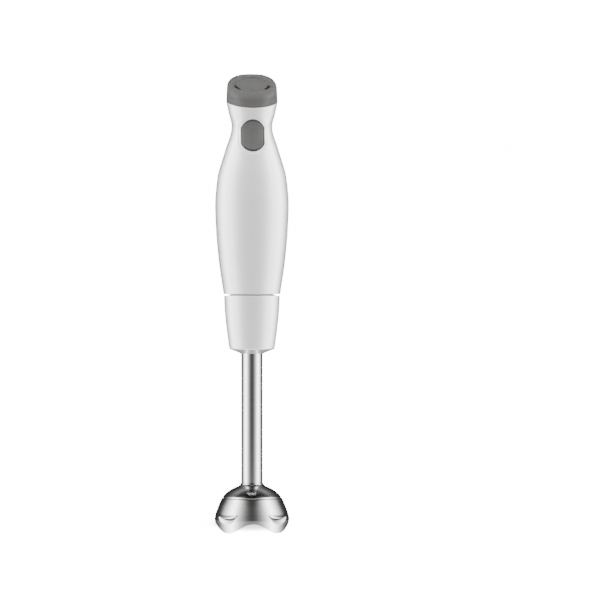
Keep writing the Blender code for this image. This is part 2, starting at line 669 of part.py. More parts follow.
def make_collar():
    outside = COLLAR_OUTSIDE + [(154.3, 17.7), (151.2, 9.4)]
    profile = [(COLLAR_BORE, COLLAR_TOP)] + [(r, z) for z, r in outside]
    profile += [(9.4, 178.5), (6.3, 178.5), (6.3, HUB_TOP), (HUB_R, HUB_TOP), (HUB_R, 157.4), (14.8, 157.4),
                (17.0, 162.0), (19.4, 176.0), (COLLAR_BORE, 190.0)]
    collar = turned("foot_collar", profile, WHITE, 28, foot_axis)
    for i in range(THREAD_STARTS):
        start = 360 / THREAD_STARTS * i + LUG_ANGLE - LUG_SWEEP / 2
        z = RIDGE_START_Z + THREAD_LEAD / THREAD_STARTS / 2 + THREAD_LEAD * (LUG_ANGLE - LUG_SWEEP / 2) / 360
        lug = helical_ridge(f"collar_lug_{i}", COLLAR_BORE + 0.8, SPIGOT_R + 0.4, start, LUG_SWEEP, z, 3)
        boolean(collar, lug, "UNION")


def make_seal_ring():
    loop = [(19.65 * math.cos(a), 19.65 * math.sin(a), 200.3) for a in full_turn(24)]
    wire("seal_ring", loop, 0.75, RUBBER, cyclic=True, parent=seal_axis)


def bell_edge(angle):
    """Height of the bell's scalloped lower edge: a lobe at every odd 45 degrees and an arch between."""
    wave = LOBE_RISE * (1 - math.cos(LOBES * (angle - math.pi / 4)))
    return wave - LOBE_FLAT


def window_louvre(name, skirt_radii, angle):
    """The pressed lip that leans into the bell from a window's lower edge, and leaves a slit above it."""
    rings = []
    for i in range(7):
        share = i / 3 - 1
        along = 10.4 * share
        low = 6.6 + 5.4 * abs(share) ** 2.2
        high = 13.0 + 0.5 * share * share
        foot = math.sqrt(smooth(skirt_radii, low) ** 2 - along ** 2) - 0.4
        tip = math.sqrt(smooth(skirt_radii, high) ** 2 - along ** 2) - 0.4 - 2.9 * (1 - share * share)
        outer = [(foot, along, low), (tip, along, high)]
        rings.append(outer + [(tip - 0.7, along, high), (foot - 0.6, along, low)])
    louvre = loft(name, rings, None, cutter=True)
    louvre.matrix_basis = Matrix.Rotation(angle, 4, "Z")
    return louvre


def make_bell():
    angles = [a + math.pi / 32 for a in full_turn(32)]  # a facet, not a corner, under each lobe
    skirt_radii = BELL_SHOULDER[-1:] + BELL_SKIRT
    rings = [[(r * math.cos(a), r * math.sin(a), z) for a in angles] for z, r in BELL_SHOULDER]
    turning = BELL_SKIRT[0][0]  # below this height the rings bend with the scalloped edge
    for z, _ in BELL_SKIRT:
        ring = []
        for a in angles:
            low = bell_edge(a)
            height = z if z >= turning else low + (turning - low) * z / turning
            r = smooth(skirt_radii, height)
            ring.append((r * math.cos(a), r * math.sin(a), height))
        rings.append(ring)
    bell = loft("bell", rings[::-1], BRUSHED, foot_axis, capped=False)
    sheet = bell.modifiers.new("Sheet", "SOLIDIFY")
    sheet.thickness = SHEET * MM
    sheet.offset = -1
    boolean(bell, block("lobe_trim", (-40, -40, -5), (40, 40, 0), None, cutter=True))
    window = []
    for i in range(5):
        share = i / 2 - 1
        window.append((-10.6 * share, 14.4 + 0.9 * share * share))
    for i in range(7):
        share = i / 3 - 1
        window.append((10.6 * share, 7.4 + 5.4 * abs(share) ** 2.2))
    for i in range(LOBES):
        outwards = Matrix.Rotation(math.radians(90), 4, "Y") @ Matrix.Rotation(math.radians(90), 4, "Z")
        turn = Matrix.Rotation(math.radians(90 * i + 45), 4, "Z") @ outwards
        boolean(bell, extruded(f"window_{i}", window, 24, 40, None, cutter=True, turn=turn))
        boolean(bell, window_louvre(f"louvre_{i}", skirt_radii, math.radians(90 * i + 45)), "UNION")


def make_foot():
    turned("shaft_tube", sleeve(TUBE_R - TUBE_WALL, TUBE_R, TUBE_LOW, TUBE_HIGH), STEEL, 32, foot_axis)
    turned("upper_shaft_bush", sleeve(SHAFT_R + GAP, 6.0, 178.8, 184.3, 0.4), BRASS, 14, foot_axis)
    hub = [(5.3, 46), (7.8, 46), (7.8, 37.7), (11.3, 36.2), (11.3, 30.0), (9.0, 25.6), (6.8, 25.6),
           (6.8, 31.5), (5.3, 31.5)]
    turned("bell_hub", hub, STEEL, 20, foot_axis)
    turned("lower_shaft_bush", sleeve(SHAFT_R + GAP, 5.0, 32, 45.4, 0.4), BRASS, 14, foot_axis)
    lip = [(3.9, 31.2), (6.5, 31.2), (6.5, 26.2), (3.3, 26.2), (3.3, 27.2), (4.6, 28.2), (3.9, 29.6)]
    turned("lip_seal", lip, RUBBER, 16, foot_axis)


# ---------------------------------------------------------------- blade


def blade_wing(name, reach, rise, angle):
    """One wing: a ground strip that leaves the hub flat and bends up or down to its tip."""
    rings = []
    half = 0.6
    for i in range(7):
        share = i / 6
        radius = 4.6 + (reach - 4.6) * share
        bend = max(0.0, (share - 0.15) / 0.85)
        z = BLADE_Z + half + rise * bend ** 1.3
        back, edge = -4.2 + 1.4 * share, 4.2 - 3.6 * share ** 2
        sweep = 1.6 * share ** 2
        rings.append([(radius, back - sweep, z - half), (radius, edge - 1.4 - sweep, z - half),
                      (radius, edge - sweep, z + half * 0.7), (radius, back - sweep, z + half)])
    wing = loft(name, rings, None, cutter=True)
    wing.matrix_basis = Matrix.Rotation(math.radians(angle), 4, "Z")
    return wing


def make_blade():
    turned("blade_shaft", rod(SHAFT_R, 9.6, 191.5, 0.5), STEEL, 16, blade_axis)
    turned("shaft_clip", sleeve(SHAFT_R + GAP, 5.6, 176.4, 177.4), STEEL, 14, blade_axis)
    turned("blade_spacer", sleeve(SHAFT_R + GAP, 5.6, 16.6, 25.2, 0.4), STEEL, 14, blade_axis)
    blade = turned("blade", sleeve(SHAFT_R + GAP, 6.2, BLADE_Z, BLADE_Z + 1.2), STEEL, 16, blade_axis)
    for i, (reach, rise) in enumerate(((23.0, -4.2), (21.0, 6.0), (23.0, -4.2), (21.0, 6.0))):
        boolean(blade, blade_wing(f"wing_{i}", reach, rise, 90 * i + 20), "UNION")
    nut_turn = Matrix.Rotation(math.radians(15), 4, "Z")
    hex_nut("blade_nut", SHAFT_R + GAP, 5.2, 10.4, 14.7, blade_axis, nut_turn)
    coupling = extruded("shaft_coupling", cross_outline(0), 187.0, 198.0, NATURAL, blade_axis)
    boolean(coupling, turned("coupling_base", rod(7.2, 185.0, 187.8, 0.4), None, 20, cutter=True), "UNION")
    boolean(coupling, turned("shaft_socket", rod(SHAFT_R + GAP, 180, 192), None, 16, cutter=True))


handle = axis_empty("handle")
rotor_axis = axis_empty("rotor_axis")
seal_axis = axis_empty("seal_axis")
foot_axis = axis_empty("foot_axis")
blade_axis = axis_empty("blade_axis")
button_slide = axis_empty("button_slide", (0, 0, BUTTON_Z))
plunger_slide = axis_empty("plunger_slide", (0, 0, 332))

make_shells()
make_cap()
make_spigot()
make_button()
make_switch()
make_board()
make_stator()
make_brackets()
make_brush_gear()
make_bearings()
make_rotor()
make_motor_coupling()
make_collar()
make_seal_ring()
make_bell()
make_foot()
make_blade()
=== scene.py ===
"""The immersion blender's looks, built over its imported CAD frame."""

import json
import math

import bmesh
import bpy
from mathutils import Matrix, Vector

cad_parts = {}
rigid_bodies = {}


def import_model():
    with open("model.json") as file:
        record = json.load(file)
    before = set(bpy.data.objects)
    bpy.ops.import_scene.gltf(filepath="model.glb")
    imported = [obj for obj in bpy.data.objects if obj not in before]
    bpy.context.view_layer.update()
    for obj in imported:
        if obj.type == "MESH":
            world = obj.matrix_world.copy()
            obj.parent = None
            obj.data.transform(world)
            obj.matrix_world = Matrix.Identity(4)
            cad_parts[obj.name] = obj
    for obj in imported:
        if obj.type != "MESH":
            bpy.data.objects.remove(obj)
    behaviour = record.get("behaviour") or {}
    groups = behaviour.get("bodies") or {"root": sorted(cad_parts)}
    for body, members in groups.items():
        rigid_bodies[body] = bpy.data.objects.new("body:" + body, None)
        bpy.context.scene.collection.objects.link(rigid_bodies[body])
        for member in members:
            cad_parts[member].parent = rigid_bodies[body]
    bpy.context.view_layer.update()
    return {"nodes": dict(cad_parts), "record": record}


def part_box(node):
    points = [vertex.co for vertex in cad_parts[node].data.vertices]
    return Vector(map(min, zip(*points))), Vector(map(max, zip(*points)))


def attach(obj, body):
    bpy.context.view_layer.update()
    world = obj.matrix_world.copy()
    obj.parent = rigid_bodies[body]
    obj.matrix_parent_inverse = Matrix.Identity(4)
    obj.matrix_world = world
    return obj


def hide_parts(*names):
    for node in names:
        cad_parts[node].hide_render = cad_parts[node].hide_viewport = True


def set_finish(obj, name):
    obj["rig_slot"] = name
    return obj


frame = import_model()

MM = 0.001


def mm_box(node):
    """A CAD node's lowest and highest corner, in millimetres."""
    low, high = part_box(node)
    return low / MM, high / MM


# ---------------------------------------------------------------- dimensions, in millimetres

SEAM_EASE = 0.45  # the joint between handle and collar is eased open by this much on both sides
HANDLE_LOW = mm_box("front_shell")[0].z + SEAM_EASE
# The handle's cross sections: height, half width, reach to the front, reach to the rear
HANDLE = [
    (HANDLE_LOW, 24.1, 24.1, 24.1),
    (230.0, 28.25, 28.1, 28.1),
    (256.0, 30.55, 30.1, 30.2),
    (277.0, 31.35, 30.6, 30.8),
    (299.0, 29.65, 28.8, 29.8),
    (324.0, 22.8, 24.0, 26.4),
    (344.0, 17.3, 20.4, 23.0),
    (356.0, 20.0, 20.6, 22.2),
    (365.2, 21.9, 21.6, 22.3),
]
HANDLE_HIGH = HANDLE[-1][0]
WALL = 2.2
SPLIT = 0.1  # half the gap between the housing's halves
SEAM_TILT = math.radians(13)
SEAM_BOW = 1.85
TILT_START = 325.0

CAP_Z = HANDLE_HIGH + 0.3  # a hairline gap between the housing and the cap
CAP_SIDE_Z, CAP_TOP_Z = 376.5, 381.4
CAP_TILT = math.radians(26)
CAP_EDGE_R = CAP_TOP_Z - CAP_SIDE_Z
CAP_ROOF = 5.2
DISH_R, SLOT_INNER_R = 16.0, 12.7
DISH_FORWARD, DISH_DEPTH = 3.0, 0.95
SLOTS = ((181.0, 226.0), (314.0, 359.0))  # start and end of each air slot, in degrees
SLOT_LIP = ((0.0, 0.5), (0.05, 0.16), (0.14, 0.04), (0.3, 0.0))  # half the distance from a slot, extra depth

BUTTON_Z = (mm_box("power_button")[0].z + mm_box("power_button")[1].z) / 2
BUTTON_HALF_WIDTH, BUTTON_ARC_R, BUTTON_ARC_OFFSET = 10.1, 11.1, 2.3

TUBE_LOW, TUBE_HIGH = mm_box("shaft_tube")[0].z, mm_box("shaft_tube")[1].z
TUBE_R = mm_box("shaft_tube")[1].x
COLLAR_TOP = mm_box("foot_collar")[1].z - SEAM_EASE
LOBES, LOBE_RISE, LOBE_FLAT = 4, 4.27, 0.45  # the bell's scalloped edge
THREAD_LEAD, RIDGE_START_Z = 15.0, 188.6


# ---------------------------------------------------------------- mesh helpers


def new_piece(name, verts, faces, body, slot=None, replaces=(), sharp=38.0):
    """A smooth-shaded mesh piece from points in millimetres, riding on a body."""
    mesh = bpy.data.meshes.new(name)
    mesh.from_pydata([Vector(v) * MM for v in verts], [], faces)
    bm = bmesh.new()
    bm.from_mesh(mesh)
    bmesh.ops.remove_doubles(bm, verts=bm.verts, dist=0.000002)
    bmesh.ops.dissolve_degenerate(bm, edges=bm.edges, dist=0.000001)
    bmesh.ops.recalc_face_normals(bm, faces=bm.faces)
    bm.to_mesh(mesh)
    bm.free()
    mesh.shade_smooth()
    mesh.set_sharp_from_angle(angle=math.radians(sharp))
    obj = bpy.data.objects.new(name, mesh)
    bpy.context.scene.collection.objects.link(obj)
    if body:
        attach(obj, body)
    if slot:
        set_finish(obj, slot)
    if replaces:
        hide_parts(*replaces)
    return obj


def grid_faces(rows, wrap_along=False):
    """Quads over rings of equal length. wrap_along joins the last ring to the first."""
    count, across = len(rows), len(rows[0])
    faces = []
    for i in range(count if wrap_along else count - 1):
        low, high = i * across, (i + 1) % count * across
        for j in range(across):
            k = (j + 1) % across
            faces.append((low + j, low + k, high + k, high + j))
    return faces


def grid_piece(name, rows, body, slot, replaces=(), wrap_along=False, sharp=38.0):
    verts = [point for row in rows for point in row]
    return new_piece(name, verts, grid_faces(rows, wrap_along), body, slot, replaces, sharp)


def bar_piece(name, rows, sharp):
    """A closed bar through rings of points, with a flat face at both ends."""
    verts = [point for row in rows for point in row]
    across, last = len(rows[0]), len(verts)
    ends = [tuple(range(across - 1, -1, -1)), tuple(range(last - across, last))]
    return new_piece(name, verts, grid_faces(rows) + ends, None, sharp=sharp)


class Skin:
    """A sheet with thickness. Every point has an outer and an inner place, and open edges are closed."""

    def __init__(self):
        self.index = {}
        self.outer = []
        self.inner = []
        self.faces = []

    def point(self, outer, inner):
        key = tuple(round(c, 3) for c in outer)
        if key not in self.index:
            self.index[key] = len(self.outer)
            self.outer.append(tuple(outer))
            self.inner.append(tuple(inner))
        return self.index[key]

    def grid(self, rows, wrap=False, skip=None):
        """rows holds (outer, inner) pairs. skip(i, j) leaves a quad out, which makes a hole."""
        marks = [[self.point(*pair) for pair in row] for row in rows]
        for i in range(len(marks) - 1):
            across = len(marks[i])
            for j in range(across if wrap else across - 1):
                if skip and skip(i, j):
                    continue
                k = (j + 1) % across
                corners = []
                for mark in (marks[i][j], marks[i][k], marks[i + 1][k], marks[i + 1][j]):
                    if mark not in corners:
                        corners.append(mark)
                if len(corners) > 2:
                    self.faces.append(tuple(corners))

    def build(self, name, body, slot, replaces=(), sharp=38.0):
        count = len(self.outer)
        edges = {}
        for face in self.faces:
            for a, b in zip(face, face[1:] + face[:1]):
                edges[(a, b)] = edges.get((a, b), 0) + 1
        faces = list(self.faces) + [tuple(count + v for v in reversed(face)) for face in self.faces]
        for a, b in edges:
            if (b, a) not in edges:
                faces.append((b, a, a + count, b + count))
        return new_piece(name, self.outer + self.inner, faces, body, slot, replaces, sharp)


def full_turn(count):
    return [2 * math.pi * i / count for i in range(count)]


def around_z(radius, angle, z):
    return Vector((radius * math.cos(angle), radius * math.sin(angle), z))


def rounded(corners):
    """An open or closed (r, z) profile whose (r, z, radius) corners are rounded off with arcs."""
    points = []
    count, segments = len(corners), 5
    for i, (r, z, *size) in enumerate(corners):
        radius = size[0] if size else 0
        here = Vector((r, z))
        before = Vector(corners[i - 1][:2]) - here
        after = Vector(corners[(i + 1) % count][:2]) - here
        if not radius or before.length < 1e-6 or after.length < 1e-6:
            points.append((r, z))
            continue
        half = before.angle(after) / 2
        reach = min(radius / math.tan(half), before.length * 0.49, after.length * 0.49)
        start, end = here + before.normalized() * reach, here + after.normalized() * reach
        for step in range(segments + 1):
            t = step / segments
            points.append(tuple(start * (1 - t) ** 2 + here * 2 * t * (1 - t) + end * t * t))
    return points


def lathe(name, profile, body, slot, replaces, steps, turn=None):
    """A closed (r, z) profile turned about Z, then placed with turn."""
    rows = []
    for r, z in profile:
        row = [around_z(r, a, z) for a in full_turn(steps)]
        rows.append([turn @ point for point in row] if turn is not None else row)
    return grid_piece(name, rows, body, slot, replaces, wrap_along=True)


def join_solids(piece, others):
    """Unites closed meshes with a piece, and applies it."""
    for other in others:
        step = piece.modifiers.new("Join", "BOOLEAN")
        step.operation = "UNION"
        step.object = other
    graph = bpy.context.evaluated_depsgraph_get()
    mesh = bpy.data.meshes.new_from_object(piece.evaluated_get(graph))
    piece.modifiers.clear()
    piece.data = mesh
    for other in others:
        bpy.data.objects.remove(other)
    mesh.shade_smooth()
    mesh.set_sharp_from_angle(angle=math.radians(30))


# ---------------------------------------------------------------- formulas


def monotone(table, x, column=1):
    """Monotone cubic through the table's (x, value, ...) rows."""
    rows = sorted((row[0], row[column]) for row in table)
    x = min(max(x, rows[0][0]), rows[-1][0])
    slopes = [(b[1] - a[1]) / (b[0] - a[0]) for a, b in zip(rows, rows[1:])]
    tangents = [slopes[0]]
    for before, after in zip(slopes, slopes[1:]):
        tangents.append(0 if before * after <= 0 else 2 * before * after / (before + after))
    tangents.append(slopes[-1])
    for i, (a, b) in enumerate(zip(rows, rows[1:])):
        if x <= b[0]:
            break
    span = b[0] - a[0]
    t = (x - a[0]) / span
    return (
        a[1] * (1 + 2 * t) * (1 - t) ** 2
        + tangents[i] * span * t * (1 - t) ** 2
        + b[1] * t * t * (3 - 2 * t)
        - tangents[i + 1] * span * t * t * (1 - t)
    )


def ease(value, low, high):
    share = min(max((value - low) / (high - low), 0), 1)
    return share * share * (3 - 2 * share)


def oval(angle, half_width, front, rear, power=2.0):
    c, s = math.cos(angle), math.sin(angle)
    x = math.copysign(abs(c) ** (2 / power), c) * half_width
    y = math.copysign(abs(s) ** (2 / power), s) * (rear if s > 0 else front)
    return x, y


SECTIONS = {}


def section(height):
    key = round(height, 3)
    if key not in SECTIONS:
        SECTIONS[key] = tuple(monotone(HANDLE, height, column) for column in (1, 2, 3))
    return SECTIONS[key]


def seam_bow(y):
    """How far the cap's seam lies below its plane, which is only in front of the middle."""
    return SEAM_BOW * (min(y, 0) / HANDLE[-1][2]) ** 2


def handle_point(angle, height, drop=0.0):
    """A point of the handle's face, sunk by drop."""
    half_width, front, rear = section(height)
    x, y = oval(angle, half_width - drop, front - drop, rear - drop)
    lift = (y * math.tan(SEAM_TILT) - seam_bow(y)) * ease(height, TILT_START, HANDLE_HIGH)
    return Vector((x, y, height + lift))


def face_address(x, z):
    """The angle and height of the front face's point at a given x and z."""
    height = z
    for _ in range(12):
        half_width = section(height)[0]
        angle = 2 * math.pi - math.acos(min(max(x / half_width, -1), 1))
        height += z - handle_point(angle, height).z
    return angle, height


def button_ring(grow, counts):
    """Points round the button's outline, grown outwards: arc, side, arc, side, with the counts given."""
    arc_count, side_count = counts
    radius = BUTTON_ARC_R + grow
    reach = math.acos((BUTTON_HALF_WIDTH + grow) / radius)
    rise = BUTTON_ARC_OFFSET + radius * math.sin(reach)
    ring = []
    for side in (1, -1):
        for i in range(arc_count):
            angle = reach + (math.pi - 2 * reach) * i / arc_count
            along, up = radius * math.cos(angle), radius * math.sin(angle) + BUTTON_ARC_OFFSET
            ring.append((side * along, side * up))
        for i in range(side_count):
            ring.append((-side * (BUTTON_HALF_WIDTH + grow), side * rise * (1 - 2 * i / side_count)))
    return ring


# ---------------------------------------------------------------- housing

ACROSS, UPRIGHT = 88, 56
SHELL_R, REAR_R = 26.0, 27.5  # typical radii of the housing, which turn an angle into a distance
BAND_LOW, BAND_HIGH = 315.0, 358.0  # the button's opening lies between these heights
EDGE_FALL = [(0.0, 0.30), (0.09, 0.11), (0.25, 0.02), (0.5, 0.0)]  # distance from an edge, fall there


def split_angles():
    """Angles across half the handle, with close ones where its edges are rounded."""
    close = [distance / SHELL_R for distance, _ in EDGE_FALL[:3]]
    inside = [close[-1] + (math.pi - 2 * close[-1]) * i / (ACROSS - 4) for i in range(1, ACROSS - 4)]
    return close + inside + [math.pi - c for c in reversed(close)]


def edge_drop(distance):
    for (near, fall), (far, fall_far) in zip(EDGE_FALL, EDGE_FALL[1:]):
        if distance < far:
            return fall + (fall_far - fall) * (distance - near) / (far - near)
    return 0.0


def shell_pair(angle, height, front, drop=0.0):
    """The outer and inner place of a shell's point, drawn back from the split and from both ends."""
    beside = min(angle % math.pi, math.pi - angle % math.pi) * SHELL_R
    if abs(angle - math.pi) < 1e-9 or angle < 1e-9 or abs(angle - 2 * math.pi) < 1e-9:
        beside = 0.0
    fall = max(drop, edge_drop(beside), edge_drop(height - HANDLE_LOW), edge_drop(HANDLE_HIGH - height))
    outer = handle_point(angle, height, fall)
    inner = handle_point(angle, height, WALL)
    shift = Vector((0, -SPLIT if front else SPLIT, 0))
    return outer + shift, inner + shift


def end_heights(low, high, count, round_low=False, round_high=False):
    rows = [low + (high - low) * i / count for i in range(count + 1)]
    if round_low:
        rows[1:1] = [low + d for d, _ in EDGE_FALL[1:]]
    if round_high:
        rows[-1:-1] = [high - d for d, _ in reversed(EDGE_FALL[1:])]
    return rows


def lip_drop(distance):
    """How far the housing's face sinks at a distance from the button's opening."""
    table = [(0.0, 0.95), (0.06, 0.66), (0.2, 0.47), (0.42, 0.38), (1.55, 0.34), (1.75, 0.27), (1.95, 0.12),
             (2.15, 0.03), (2.5, 0.0), (4.0, 0.0)]
    return monotone(table, distance)


def make_front_shell():
    skin = Skin()
    angles = [math.pi + a for a in split_angles()]
    for low, high, count, ends in (
        (HANDLE_LOW, BAND_LOW, 74, (True, False)),
        (BAND_HIGH, HANDLE_HIGH, 6, (False, True)),
    ):
        rows = [[shell_pair(a, h, True) for a in angles] for h in end_heights(low, high, count, *ends)]
        skin.grid(rows)
    across = len(angles) - 1
    border = [(angle, BAND_HIGH) for angle in angles[::-1][:-1]]
    border += [(math.pi, BAND_HIGH + (BAND_LOW - BAND_HIGH) * i / UPRIGHT) for i in range(UPRIGHT)]
    border += [(angle, BAND_LOW) for angle in angles[:-1]]
    border += [(2 * math.pi, BAND_LOW + (BAND_HIGH - BAND_LOW) * i / UPRIGHT) for i in range(UPRIGHT)]
    rows = []
    for distance in (0.0, 0.06, 0.2, 0.42, 0.8, 1.2, 1.55, 1.75, 1.95, 2.15, 2.5, 3.2):
        ring = [face_address(x, z + BUTTON_Z) for x, z in button_ring(distance + 0.2, (across, UPRIGHT))]
        rows.append([shell_pair(a, h, True, lip_drop(distance)) for a, h in ring])
    steps = 16
    for step in range(1, steps + 1):
        t = (step / steps) ** 1.35
        row = []
        for (a, h), (angle, height) in zip(ring, border):
            row.append(shell_pair(a + (angle - a) * t, h + (height - h) * t, True))
        rows.append(row)
    skin.grid([row[::-1] for row in rows], wrap=True)
    skin.build("front_housing", "handle", "white_plastic", ("front_shell",))


def make_rear_shell():
    """The rear half. Each vent is a slot with round ends, between two rows of points that part there."""
    vent_half, vent_reach, margin = 0.9, 9.0, 1.55
    vents = [221.9 + 4.2 * i for i in range(5)]
    angles = split_angles()
    skin = Skin()
    rows, cuts = [], set()

    def add_row(height, lift=None):
        row = []
        for angle in angles:
            across = REAR_R * abs(angle - math.pi / 2)
            shift, fall = 0.0, 0.0
            if lift:
                side, distance, depth = lift
                inside = vent_reach - across
                half = vent_half if inside > vent_half else 0.0
                if 0 < inside <= vent_half:
                    half = math.sqrt(vent_half ** 2 - (vent_half - inside) ** 2)
                share = half / vent_half
                shift = side * (half + distance)
                fall = depth * min(1.0, max(0.0, (inside + 0.4) / 0.8)) * (0.35 + 0.65 * share)
            row.append(shell_pair(angle, height + shift, False, fall))
        rows.append(row)

    lowest = HANDLE_LOW
    for vent in vents:
        first = lowest == HANDLE_LOW
        for height in end_heights(lowest, vent - margin, 14 if first else 1, first):
            add_row(height)
        lips = ((0.3, 0.0), (0.1, 0.1), (0.0, 0.35))
        for distance, depth in lips:
            add_row(vent, (-1, distance, depth))
        cuts.add(len(rows) - 1)
        for distance, depth in reversed(lips):
            add_row(vent, (1, distance, depth))
        lowest = vent + margin
    for height in end_heights(lowest, HANDLE_HIGH, 84, False, True):
        add_row(height)

    def hole(i, j):
        middle = (angles[j] + angles[j + 1]) / 2
        return i in cuts and REAR_R * abs(middle - math.pi / 2) < vent_reach

    skin.grid(rows, skip=hole)
    skin.build("rear_housing", "handle", "white_plastic", ("rear_shell",))


# ---------------------------------------------------------------- cap


def cap_point(level, height, angle, inset=0.0):
    half_width = HANDLE[-1][1] - 0.5 * level - inset
    front = HANDLE[-1][2] + 1.2 * level - inset
    rear = HANDLE[-1][3] - 0.5 * level - inset
    tilt = SEAM_TILT + (CAP_TILT - SEAM_TILT) * level
    x, y = oval(angle, half_width, front, rear, 2 + 0.45 * level)
    return Vector((x, y, height + y * math.tan(tilt) - seam_bow(y) * (1 - level)))


TOP_FRAME = Matrix.Translation((0, 0, CAP_TOP_Z)) @ Matrix.Rotation(CAP_TILT, 4, "X")
TOP_FRAME = TOP_FRAME @ Matrix.Translation((0, -DISH_FORWARD, 0))


def top_point(radius, depth, angle):
    return TOP_FRAME @ around_z(radius, angle, -depth)


def make_cap():
    """A band up from the seam, a rounded edge, and a dished top with two air slots."""
    count = 240
    skin = Skin()
    angles = full_turn(count)
    rows = []

    def add_side(level, height, inset):
        row = []
        for angle in angles:
            outer = cap_point(level, height, angle, inset)
            inner_height = min(height, CAP_Z + (CAP_TOP_Z - CAP_ROOF - 0.6 - CAP_Z) * level)
            row.append((outer, cap_point(level, inner_height, angle, WALL)))
        rows.append(row)

    side = CAP_SIDE_Z - CAP_Z
    for distance, fall in EDGE_FALL:
        add_side(distance / side, CAP_Z + distance, fall)
    for i in range(1, 13):
        level = 0.06 + 0.94 * i / 12
        add_side(level, CAP_Z + side * level, 0.0)
    steps = 14
    for i in range(1, steps + 1):
        turn = math.radians(90 * i / steps)
        inset = CAP_EDGE_R * (1 - math.cos(turn))
        row = []
        for angle in angles:
            outer = cap_point(1, CAP_SIDE_Z + CAP_EDGE_R * math.sin(turn), angle, inset)
            share = i / steps
            inner = cap_point(1, CAP_TOP_Z - CAP_ROOF - 0.5 * (1 - share), angle, WALL + 0.3 + 1.6 * share)
            row.append((outer, inner))
        rows.append(row)

    def slot_edge(angle, side):
        """The radius of the slot's outer (1) or inner (-1) edge, which meet at its round ends."""
        middle, half = (DISH_R + SLOT_INNER_R) / 2, (DISH_R - SLOT_INNER_R) / 2
        degrees = math.degrees(angle)
        inside = max(min(degrees - start, end - degrees) for start, end in SLOTS) * math.radians(1) * middle
        if inside <= 0:
            return middle
        if inside < half:
            half = math.sqrt(half ** 2 - (half - inside) ** 2)
        return middle + side * half

    def add_top(radius_of, depth_of):
        row = []
        for angle in angles:
            radius, depth = radius_of(angle), depth_of(angle)
            row.append((top_point(radius, depth, angle), top_point(min(radius, 15.9), CAP_ROOF, angle)))
        rows.append(row)

    for radius, depth in (
        (16.95, 0.0), (16.6, 0.04), (16.35, 0.13), (16.15, 0.32), (16.06, 0.55), (16.02, 0.78),
    ):
        add_top(lambda angle, r=radius: r, lambda angle, d=depth: d)
    for side, order in ((1, (2, 1, 0)), (-1, (0, 1, 2, 3))):
        for step in order:
            away, extra = SLOT_LIP[step]

            def edge(angle, side=side, away=away):
                widest = 16.015 - (0.14 - min(away, 0.14)) * 0.02
                return min(slot_edge(angle, side) + side * away * 2, widest)

            def depth(angle, extra=extra, edge=edge):
                level = 0.8 + (DISH_DEPTH - 0.8) * ease(16.0 - edge(angle), 0, 0.8)
                return level + extra

            add_top(edge, depth)
            if side == 1 and step == 0:
                cut = len(rows) - 1
    for radius, depth in ((11.8, 1.15), (9.0, 1.28), (5.0, 1.42), (2.0, 1.48), (0.0, 1.5)):
        add_top(lambda angle, r=radius: r, lambda angle, d=depth: d)

    def slot_hole(i, j):
        middle = math.degrees(angles[j]) + 180 / count
        return i == cut and any(start < middle < end for start, end in SLOTS)

    skin.grid(rows, wrap=True, skip=slot_hole)
    skin.build("cap", "handle", "grey_plastic", ("top_cap",), sharp=45)


def make_gland():
    low, high = mm_box("cord_gland")
    z = (low.z + high.z) / 2
    end = high.y
    bore = 3.5
    profile = rounded([
        (bore, end, 0.25), (4.3, end, 0.45), (4.5, end - 0.7), (5.0, end - 1.0, 0.3),
        (5.6, end - 1.9, 0.4), (5.6, end - 3.3), (4.4, end - 3.3), (4.4, end - 6.4),
        (5.1, end - 6.8, 0.2), (4.9, low.y + 0.2, 0.2), (bore, low.y),
    ])
    turn = Matrix.Translation((0, 0, z)) @ Matrix.Rotation(math.radians(-90), 4, "X")
    lathe("gland", profile, "handle", "black_rubber", ("cord_gland",), 72, turn)


# ---------------------------------------------------------------- button


def face_place(x, z, drop):
    """The front face's point at x and z, sunk by drop along Y."""
    angle, height = face_address(x, z)
    point = handle_point(angle, height)
    return Vector((x, point.y + drop, z))


def make_button():
    _, high = mm_box("power_button")
    counts, inside = (44, 28), 1.15
    rows = []
    face = [(0.0, 1.4), (0.03, 0.35), (0.12, 0.05), (0.28, -0.15), (0.5, -0.27), (0.8, -0.3), (1.15, -0.24),
            (1.45, -0.1), (1.8, 0.0), (2.4, 0.06), (4.0, 0.16), (6.0, 0.26), (8.0, 0.3), (8.95, 0.31)]
    for inset, drop in face:
        rows.append([face_place(x, z + BUTTON_Z, drop) for x, z in button_ring(-inside - inset, counts)])
    centre = face_place(0, BUTTON_Z, face[-1][1])
    rows.append([centre] * len(rows[0]))
    rows.reverse()
    outline = button_ring(-inside, counts)
    flange_front = high.y - 1.6
    rows.append([Vector((x, flange_front - 0.6, z + BUTTON_Z)) for x, z in outline])
    flange = button_ring(0.6, counts)
    rows.append([Vector((x, flange_front, z + BUTTON_Z)) for x, z in flange])
    rows.append([Vector((x, high.y, z + BUTTON_Z)) for x, z in flange])
    rows.append([Vector((0, high.y, BUTTON_Z))] * len(flange))
    grid_piece("thumb_button", rows, "power_button", "grey_plastic", ("power_button",), sharp=50)
    rows = []
    for grow, drop in ((0.12, 3.0), (0.12, 1.0), (0.04, 0.84), (-0.12, 0.76), (-0.8, 0.76), (-0.96, 0.84),
                       (-1.04, 1.0), (-1.04, 3.0)):
        rows.append([face_place(x, z + BUTTON_Z, drop) for x, z in button_ring(grow, counts)])
    grid_piece("seal_lip", rows, "handle", "black_rubber", ("button_seal",), wrap_along=True)


# ---------------------------------------------------------------- foot


